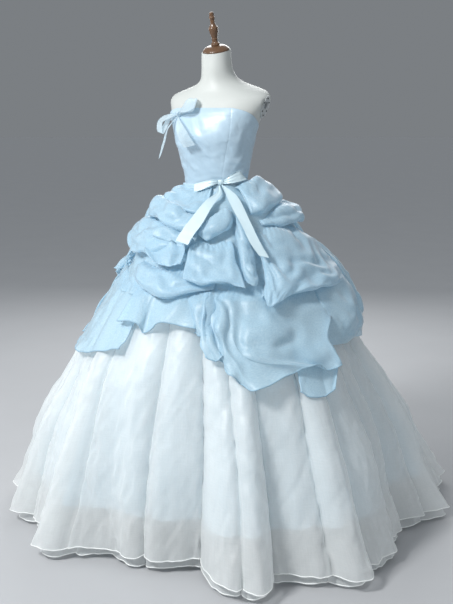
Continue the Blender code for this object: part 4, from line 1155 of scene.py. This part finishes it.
BILLOWS = cages("""
waist_gather
-64 1198 -4, -36 1198 -18, -12 1198 -27, 2 1198 -27, 22 1198 -23
-66 1187 20, -42 1184 14, -14 1166 -17.5, 2 1158 -14.5, 20 1156 -12
-66 1170 21.8, -42 1168 27.9, -16 1148 24, 2 1138 20, 19 1130 20
-62 1160 12, -38 1154 12.1, -16 1136 13, 2 1125 13, 18 1112 13

billow_left_top
-64 1150 10, -32 1142 10, -6 1112 10, 16 1098 10
-67 1152 28.4, -48 1156 36.1, -9 1140 40, 15 1108 32
-68 1120 39.5, -46 1130 45.3, -10 1118 52, 13 1085 42
-67 1098 37.2, -40 1104 42.9, -13 1094 46.6, 11 1060 36
-64 1102 20.1, -38 1098 21.2, -16 1092 18.9, 9 1062 15

billow_left_ear
-66 1086 10, -34 1082 10, -14 1074 10, 12 1040 10
-68 1078 40, -52 1080 40.4, -18 1078 39.8, 12 1038 26
-69 1040 57.5, -56 1038 59.4, -20 1048 51, 10 1018 30
-68 1006 63.6, -46 1005 58, -20 1008 48, 6 999 30
-66 990 58.3, -34 985 42.6, -18 986 37.8, 2 988 24
-64 1000 51.1, -34 995 32.7, -20 993 23.4, 0 996 17

petal_left
-10 970 12, -2 964 12, 5 964 12, 9 970 12
-10 967 41.2, -2 962 41.8, 5 962 42, 9.5 968 38
-9 973 62.9, -1.5 959 65.8, 5 959 67, 9.5 968 58
-16 1000 70.7, -6.5 986 60.5, 2 994 62, 10 990 58
-22 1030 70.1, -10.5 1015 57.1, -1 1006 52, 9.5 1008 50
-26 1055 66.3, -14 1045 57.8, -2 1035 48.3, 8.5 1030 44

swag_left
-25.5 958 12, -15.5 952 12, 0 944 12, 15 944 12, 28 938 12
-25 942 34.6, -14 942 40.6, 2.5 926 42, 15.5 926 34, 29 921 24
-22 915 40.4, -9.5 908 51.4, 3.5 896 58, 15.5 904 46, 29 905 30
-16 893 35.3, -5 878 49, 5 868 56, 16 887 44, 28 891 30
-17 903 19.8, -8.5 893 21.3, 2 883 24, 14.5 899 20, 27.5 904 16

swag_centre
12.5 1022 40, 20 1034 26, 29 1026 14, 41 1050 14
13 1000 54, 22 990 38, 32 985 40, 41 1015 36
13.5 965 70, 23 955 52, 33 955 60, 42 965 54
14 930 82, 23 915 70, 33.5 920 74, 43 905 84
14 942 64, 23 928 52, 34 933 56, 42.5 918 62

loop_centre
17 1075 14, 27 1105 14, 39 1136 14, 45 1120 14
16.5 1062 28, 25.5 1092 40, 39 1134 34, 44 1112 28
18.5 1055 38, 26.5 1075 54, 36 1085 52, 43 1095 34
24 1041 40, 27 1056 46, 34.5 1066 40, 42 1081 28
23.5 1051 22, 27.5 1066 24, 35 1075 22, 42 1086 18

fold_centre
47.5 1112 14, 49.5 1118 34, 52.5 1100 32, 55 1080 14
45.5 1070 30, 47.5 1070 48, 50.5 1056 46, 54 1038 20
44.5 1010 38, 46.5 1005 56, 49.5 996 50, 53 985 22
44.8 955 44, 46.5 952 62, 49 940 56, 52 932 30
45.5 918 50, 47 908 66, 49 905 62, 51 910 40

swag_right
62 1072 14, 80 1072 14, 98 1066 14, 112 1066 14
59.5 1043 34, 72 1040 46, 92 1028 52, 113 1020 48
57.5 975 44, 66 970 64, 87 960 60, 113 950 62
55 918 56, 60 910 76, 75 920 74, 94 912 76, 111 905 70
51.5 882 74, 53 852 92, 64 884 84, 86.5 888 80, 108 882 74
53 890 42, 56 870 46, 69 893 42, 90 894 44, 106 894 40

billow_right_top
60 1198 -12, 92 1198 -4, 124 1198 -10, 150 1198 -24
64 1196 22, 92 1222 34, 120 1228 40, 152 1214 34
63 1165 36, 80 1172 50, 119 1188 64, 153 1180 56
63 1130 34, 76 1136 50, 118 1158 58, 152 1152 50
64 1113 16, 82 1117 20, 117 1147 24, 150 1142 20

billow_right_ear
69 1100 12, 90 1105 12, 112 1130 12, 146 1126 12
70 1094 22, 93 1122 44, 118 1138 66, 149 1132 52
70 1086 26, 97 1106 56, 119 1112 84, 151 1104 64
71 1081 22, 96 1083 48, 119 1082 64, 150 1078 54
73 1085 15, 104 1086 22, 117 1092 26, 148 1090 22

billow_right_low
118 1048 12, 138 1036 12, 158 1031 12
117.5 985 56, 138 982 54, 160 978 50
117 905 70, 138 900 74, 161 900 70
112 830 66, 120.5 810 68, 137 815 72, 160 812 66
95 775 60, 110 752 62, 134 742 54, 156 740 50
89 715 48, 104 692 50, 132 688 36, 154 690 30

drape_right
24 905 12, 27 905 12, 30 905 12, 38.5 905 12, 50 900 12, 67.5 905 12, 90 900 12
23.4 872 20, 26 875 34, 28.6 876 20, 34 873 30, 46 866 36, 64 872 34, 88 870 42
22.8 838 24, 25 842 48, 27.3 838 26, 31 848 44, 38 850 34, 48 820 52, 62 832 46, 85 815 62
23.6 785 28, 25.8 788 52, 28 784 30, 31 786 58, 37.5 785 40, 45.5 765 66, 61 765 46, 76 745 66
25.2 735 34, 27.2 735 56, 29.5 735 36, 34 738 58, 38 720 46, 45 700 68, 59.5 705 50, 74 705 78
27 697 40, 30 691 56, 32.5 697 44, 34.5 648 60, 38 628 54, 43 610 74, 58 650 56, 66 655 62, 70 642 68,
75 652 84

flare_right
60 710 20, 68 710 20, 75 710 20, 83 710 20
60 665 28, 67 662 26, 74 650 28, 81 655 30
59.5 625 34, 65 612 32, 70 607 38, 75 616 48
58.5 585 44, 62 566 46, 66.5 566 48, 71 582 58

flounce_left
-18 910 10, -10 910 10, -3 905 10, 9 905 10, 20.5 905 10
-18 870 20, -10 870 22, -3 868 14, 9 876 20, 20.5 878 16
-17 838 28.9, -8 838 35.1, -4 832 12.6, 9.5 842 32, 20.5 848 22
-17 806 38.3, -6 808 42.4, -3.5 785 12, 8 818 40, 21 815 26
-17 776 46.1, -5 782 50.1, -3 748 14, 7.5 792 48, 21 776 30

panel_left
-66 918 12, -52 915 12, -36 905 12, -16 893 12
-69 866 13, -54 865 14, -36 842 20, -13 842 12
-74 780 13, -56 765 14, -35 742 24, -10 775 18
-76 705 16, -58 690 18, -37 672 34, -11 715 34
-76 672 20, -58 655 26, -38 645 42, -11 695 42

swag_back_right_top
157 1170 12, 190 1170 12, 222 1165 12
158 1140 45, 190 1130 60, 223 1135 50
159 1090 60, 190 1060 80, 223 1080 60
160 1060 50, 190 1020 65, 221 1050 50
161 1072 22, 190 1035 25, 220 1062 22

swag_back_left_top
228 1165 12, 260 1170 12, 286 1165 12
227 1135 50, 260 1130 60, 287 1140 45
227 1080 60, 260 1060 75, 287 1080 50
229 1050 50, 260 1020 60, 286 1050 42
230 1062 22, 260 1035 25, 285 1062 22

swag_back_right_low
166 1010 12, 190 990 12, 221 1005 12
166 970 50, 191 940 60, 223 965 50
165 910 70, 192 870 85, 224 900 70
166 880 55, 192 830 70, 222 870 55
168 892 25, 192 845 28, 220 882 25

swag_back_left_low
229 1005 12, 258 990 12, 286 970 12
228 965 50, 258 940 60, 287 945 40
227 900 70, 258 870 80, 287 900 50
229 870 55, 258 830 65, 286 875 45
231 882 25, 258 845 28, 284 887 24

bunch_right
84 905 12, 97 915 12, 112 920 12, 124 920 12
82 872 50, 96 880 66, 110 885 56, 122 880 44
80 815 54, 95 820 74, 108 822 62, 120 820 48
76 745 52, 90 742 70, 104 745 60, 118 745 44
75 700 28, 88 690 34, 102 695 30, 116 700 24

gather_side_left
-84 1172 12, -77 1172 12, -70 1172 12
-83 1120 34, -77 1120 46, -70.5 1120 26
-83 1040 38, -77 1040 52, -70.5 1040 30
-83 960 36, -77 960 50, -70.5 960 30
-82 890 30, -77 880 44, -71 890 26

gather_side_right
146 1172 12, 154.5 1172 12, 163 1172 12
147 1120 44, 154.5 1120 62, 162 1120 46
147 1030 48, 155 1030 70, 163 1030 52
150 950 50, 160 950 76, 168 950 54
152 860 44, 161 850 66, 169 860 50

gather_back
218 1172 12, 225.5 1172 12, 233 1172 12
219 1110 48, 225.5 1110 68, 232 1110 48
219 1020 46, 225.5 1020 66, 232 1020 46
219 940 48, 225.5 940 70, 232 940 48
220 860 44, 225.5 850 60, 231 860 44

bunch_middle
16 905 10, 24 905 10, 34 900 10
16 865 20, 23 862 34, 33 860 24
18 815 22, 23 810 34, 31 815 24
20 765 20, 24.5 755 34, 31 765 24

panel_back
165 892 12, 195 880 12, 225 890 12, 255 880 12, 289 895 12
166 815 30, 195 805 32, 225 830 26, 255 805 32, 289 840 20
164 740 35, 194 735 40, 225 750 30, 256 740 40, 289 770 25
161 680 40, 193 660 60, 225 690 30, 257 665 55, 289 690 34
161 640 45, 192 610 70, 225 650 35, 258 615 65, 289 650 40
""")


def on_dome(row):
    return [polar(deg, dome_radius(deg, z) + out, z) for deg, z, out in row]


print("billows:", len(BILLOWS))

# %% [markdown]
# ## How a billow finds its folds
# Organza that is caught up buckles into a few large folds and then into small creases, which no one would
# place by hand. So each sheet starts with a few soft folds of its kind: a swag sags between its tacks, and
# hanging cloth falls straight. Blender's Cloth then runs twice, first on a coarse grid and then on a finer
# one, from a cut that is a little larger than its space. Last come the fine gathers at the top seam and
# the side edges, which are carried back to the base.

# %% Make the billows
HANGING = ("gather_side_left", "gather_side_right", "gather_back", "bunch_middle", "drape_right",
           "flare_right", "flounce_left", "panel_left", "panel_back", "petal_left")
SMOOTH = ("panel_left", "flounce_left", "panel_back", "flare_right")     # these have only shallow folds
CELL = 0.018                     # of a sheet's first, coarse grid
BILLOW_GAP = 0.005               # between a billow and what lies under it


def dome_under(grid, gap):
    """The least radius of a billow: just outside the overskirt's base and the white skirt below it."""
    turns = np.degrees(np.arctan2(grid[..., 0], -grid[..., 1]))
    height = grid[..., 2]
    rows, columns = outer_reach.shape
    fall = np.clip((SKIRT_TOP_Z - height) / (SKIRT_TOP_Z - OUTER_HEM_Z), 0, 1)
    row = fall ** (1 / TOWARDS_WAIST) * (rows - 1)
    column = (turns + 180) / 360 * columns
    i, j = np.clip(row.astype(int), 0, rows - 2), column.astype(int)
    a, b = np.clip(row - i, 0, 1), column - j
    upper, lower = [(1 - b) * outer_reach[k, j % columns] + b * outer_reach[k, (j + 1) % columns]
                    for k in (i, i + 1)]
    skirt = (1 - a) * upper + a * lower
    return np.where(height > CORE_HEM_Z, base_radius(turns, height), skirt) + gap


def billow_sheet(cage, cell):
    """A sheet through a cage, in cells of about one size."""
    placed = [on_dome(row) for row in cage]
    width, length = cut_size(sheet_through(placed, 24, 24))
    return sheet_through(placed, max(int(length / cell) + 2, 12), max(int(width / cell) + 2, 12))


def first_folds(grid, hanging, seed):
    """The folds a billow starts with: swags sag in curves between their tacks, hanging cloth falls."""
    rows, columns = grid.shape[:2]
    width, length = cut_size(grid)
    v, u = np.linspace(0, 1, rows)[:, None], np.linspace(-1, 1, columns)[None, :]
    wander = ripples(grid, 0.08, 1.0, seed + 30)
    if hanging:
        phase = width / 0.095 * (u + 1) / 2 + 0.8 * wander
        depth = smooth_step(v, 0.0, 0.6) + 0 * u
    else:
        phase = length / 0.090 * (v + 0.30 * u * u) + 1.1 * wander
        depth = (np.sin(math.pi * v) * np.cos(math.pi / 2 * u)) ** 0.5
    return (np.abs(np.sin(math.pi * phase)) ** 0.9 - (0.40 if hanging else 0.20)) * depth


def gathered(grid, seed):
    """Fine gathers that run down from the seam at the top and die away."""
    along = lengths_along(grid)
    across = np.cumsum(np.linalg.norm(np.diff(grid[:1], axis=1, prepend=grid[:1, :1]), axis=2), 1)
    pleats = np.sin(2 * math.pi * across / 0.017 + 3 * ripples(grid, 0.05, 1.0, seed + 9))
    return push_out(grid, 0.0028 * pleats * np.exp(-along / 0.030) * (1 - np.exp(-along / 0.004)))


def turn_under(grid, depth):
    """Carry a sheet's side edges back towards the base, as where a pick-up is caught."""
    for edge, inside in ((0, 3), (-1, -4)):
        first = grid[:, edge]
        back = unit(grid[:, inside] - first)
        inward = unit(-first * (1, 1, 0))
        strips = [(first + back * depth * a + inward * depth * b)[:, None]
                  for a, b in ((-0.10, 0.22), (-0.02, 0.55), (0.30, 0.85), (0.75, 1.0))]
        if edge == 0:
            grid = np.concatenate(strips[::-1] + [grid], 1)
        else:
            grid = np.concatenate([grid] + strips, 1)
    return grid


for k, (name, cage) in enumerate(BILLOWS.items()):
    free = name in HANGING
    smooth = name in SMOOTH
    grid = billow_sheet(cage, CELL)
    grid = push_out(grid, (0.006 if smooth else 0.022) * first_folds(grid, free, k))
    held = hold(*grid.shape[:2], 0.10, bottom=0.5 if free else 1.0)
    grid = crumple(grid, held, wider=0.03 if smooth else 0.08, longer=0.05, bending=10.0, seed=k,
                   frames=10, start=0.008, upright=0.6)
    grid = relaxed(finer(grid), 4)
    held = hold(*grid.shape[:2], 0.15, bottom=0.8 if free else 1.0, left=0.9, right=0.9)
    grid = crumple(grid, held, wider=0.010, longer=0.010, bending=1.5, seed=k + 50, frames=6, start=0.0015)
    grid = turn_under(gathered(relaxed(finer(grid), 2), k), 0.012 if free else 0.024)
    grid = keep_clear(grid, dome_under(grid, BILLOW_GAP))
    billow = cloth_piece("cloth_" + name, grid, blue_organza)
    stand_for(billow, "organza_blue", *[name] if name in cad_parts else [])
    edges = []
    if free:
        edges = [hem_roll("hem_" + name, grid[-1], 0.0024, blue_cord, closed=False)]
    if name in ("swag_centre", "swag_left"):
        line = grid[int(0.70 * len(grid)), 4:-4]
        edges = [hem_roll("fold_line_" + name, line, 0.0008, blue_organza, closed=False)]
    for edge in edges:
        stand_for(edge, "organza_blue")
    declare_sheet(billow, grid)

# %% [markdown]
# ## Bows and rosette
# A bow's loop is one ribbon that goes out, turns and comes back, so each loop has two layers. The pleats
# run out from the knot. The knot is a short band drawn tight round them. The rosette at the side is two
# ruffled rounds of organza, and a pale ribbon end hangs by it. A ribbon's rows run along it, and each row
# holds its two edges.


# %% Cages of the bows
# The third number is the distance outside the form, and for the satin tails the distance from the pole.
WAIST_LOOPS = cages("""
bow_loop_left
33.2 1222 11, 33.2 1213 11
20 1226 20, 19 1204 26
-2 1216 24, 1 1190 36
-17 1208 20, -11 1184 32

bow_loop_right
42.1 1222 11.5, 42.1 1213 11.5
54 1241 17.9, 57 1217 22
66 1254 17.8, 76 1225 24
70 1256 11, 83 1228 17.9
""")
WAIST_TAILS = cages("""
bow_tail_left
34 1209 106.5, 37.8 1209 106.5
30 1185 148, 37 1182 148
19 1160 206, 27 1150 215
11 1105 270, 21 1100 274
7 1062 310, 16 1058 312
6 1043 326, 14 1031 334

bow_tail_right
38.2 1209 106.5, 42 1209 106.5
40 1195 148, 48 1197 148
43 1150 216, 53 1168 198
47 1090 284, 54 1100 276
49 1038 338, 55 1039 338
52 1000 370, 57 991 378
""")
SHOULDER_BOW = cages("""
sheer_loop_up
-41.5 1453 12.1, -41.5 1443 10.4
-33 1488 26.5, -29 1452 32.6
-22 1500 32.6, -15 1455 39.6
-6 1492 34, -5 1466 38.4

sheer_loop_side
-46.5 1453 10.6, -46.5 1443 8.9
-58 1440 39.1, -54 1426 35.4
-65 1415 57.1, -59 1415 42.1
-62 1385 59.7, -58 1379 44.3

sheer_tail_left
-46.5 1437 8.2, -44.1 1437 9
-55 1400 26.5, -48 1396 31.6
-61 1345 55, -55 1345 48.4
-62 1292 81.6, -60 1301 74.7

sheer_tail_right
-43.9 1437 9, -41 1437 9.9
-33 1405 27.7, -23 1420 31.9
-25 1365 30.3, -9 1386 34
-18 1334 31.8, 1 1345 31.4
""")


def on_body(row):
    return [polar(deg, body_radius(deg, z) + out, z) for deg, z, out in row]


def from_pole(row):
    return [polar(deg, radius, z) for deg, z, radius in row]


print("ribbons:", len(WAIST_LOOPS) + len(WAIST_TAILS) + len(SHOULDER_BOW))


# %% Make the bows
def pleated(grid, depth, count, reach):
    """Pleats that run out from the knot and die away."""
    u = np.linspace(0, 1, grid.shape[1])[None, :]
    along = np.linalg.norm(grid - grid[:1], axis=2)
    waves = np.cos(2 * math.pi * count * u) * depth * np.exp(-along / reach)
    return push_out(grid, waves + ripples(grid, 0.02, 0.0012, count))


def ribbon_loop(cage, gap):
    """Out along the cage, round the end, and back behind it."""
    steps = len(cage) - 0.4
    behind = [[(deg, z, max(out - gap * math.sin(math.pi * k / steps), 0.002)) for deg, z, out in row]
              for k, row in enumerate(cage)]
    return sheet_through([on_body(row) for row in cage + behind[::-1][1:]], 64, 15)


for table, slot, material, gap in ((WAIST_LOOPS, "ribbon_pale", ribbon_satin, 0.016),
                                   (SHOULDER_BOW, "ribbon_sheer", sheer_ribbon, 0.024)):
    for name, cage in table.items():
        if "loop" in name:
            grid = pleated(ribbon_loop(cage, gap), 0.0016, 2.5, 0.03)
        else:
            grid = pleated(sheet_through([on_body(row) for row in cage], 50, 15), 0.0014, 2.0, 0.03)
        piece = cloth_piece("cloth_" + name, grid, material)
        stand_for(piece, slot, name)
        edges = [hem_roll("edge_%s_%d" % (name, k), grid[:, side], 0.0006, material, closed=False)
                 for k, side in enumerate((0, -1))]
        for edge in edges:
            stand_for(edge, slot)
        declare_sheet(piece, grid)
for name, cage in WAIST_TAILS.items():
    grid = pleated(sheet_through([from_pole(row) for row in cage], 70, 13), 0.0014, 1.5, 0.05)
    piece = cloth_piece("cloth_" + name, grid, ribbon_satin)
    stand_for(piece, "ribbon_pale", name)
    declare_sheet(piece, grid)


# %% Knots, rosette and ribbon end
def seat_of(node):
    """The middle of a CAD node, and the directions across, up and out there."""
    low, high = np.array(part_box(node))
    centre = (low + high) / 2
    out = centre * (1, 1, 0) / np.linalg.norm(centre[:2])
    return centre, np.cross((0, 0, 1), out), np.array((0.0, 0.0, 1.0)), out


def tied_knot(node, material, slot, half):
    """A band of ribbon drawn tight: a soft roll, nipped at both sides, with pleats across it."""
    centre, across, up, out = seat_of(node)
    s = np.linspace(-1, 1, 25)[:, None, None]
    turn = np.linspace(0, 2 * math.pi, 48, endpoint=False)[None, :, None]
    belly = 1 - 0.30 * s**2 + 0.05 * np.cos(9 * s + 0.8 * np.sin(turn)) + 0.04 * np.sin(3 * turn + 2 * s)
    grid = centre + across * half[0] * s + belly * (
        up * half[1] * np.sin(turn) + out * half[2] * np.cos(turn))
    knot = cloth_piece("cloth_" + node, grid, material, closed=True)
    stand_for(knot, slot, node)
    declare_sheet(knot, grid, closed=True)


tied_knot("bow_knot", ribbon_satin, "ribbon_pale", (0.0085, 0.0105, 0.0075))
tied_knot("sheer_knot", sheer_ribbon, "ribbon_sheer", (0.0080, 0.0100, 0.0070))

centre, across, up, out = seat_of("rosette")
turn = np.linspace(0, 2 * math.pi, 120, endpoint=False)[None, :, None]
for layer, (reach, waves, lift) in enumerate(((0.021, 9, 0.006), (0.015, 7, 0.011))):
    v = np.linspace(0.04, 1, 16)[:, None, None]
    ruffle = np.sin(waves * turn + 2.5 * v + layer) * v**1.5
    spread = v * reach * (1 + 0.14 * np.sin(3 * turn + layer) + 0.08 * np.cos(5 * turn))
    grid = (centre + across * spread * np.cos(turn) * 0.85 + up * spread * np.sin(turn) * 1.15
            + out * (lift * (1 - v) * 0.7 - 0.004 + lift * 0.5 + 0.0045 * ruffle))
    ruffled = cloth_piece("rosette_ruffle_%d" % layer, grid[:, ::-1], blue_organza, closed=True)
    stand_for(ruffled, "organza_blue", *(["rosette"] if layer == 0 else []))
    declare_sheet(ruffled, grid, closed=True)
s = np.linspace(0, 1, 30)[:, None]
u = np.linspace(-0.5, 0.5, 7)[None, :]
tab = (centre + out * 0.008)[None, None] + across * (0.010 * u + 0.006 + 0.004 * np.sin(4 * s))[..., None]
tab = tab - up * (0.052 * s - 0.006 + 0 * u)[..., None]
tab = tab + out * (0.004 * np.sin(5 * s) - 0.004 * s + 0 * u)[..., None]
ribbon_end = cloth_piece("ribbon_end", tab, ribbon_satin)
stand_for(ribbon_end, "ribbon_pale")
declare_sheet(ribbon_end, tab)
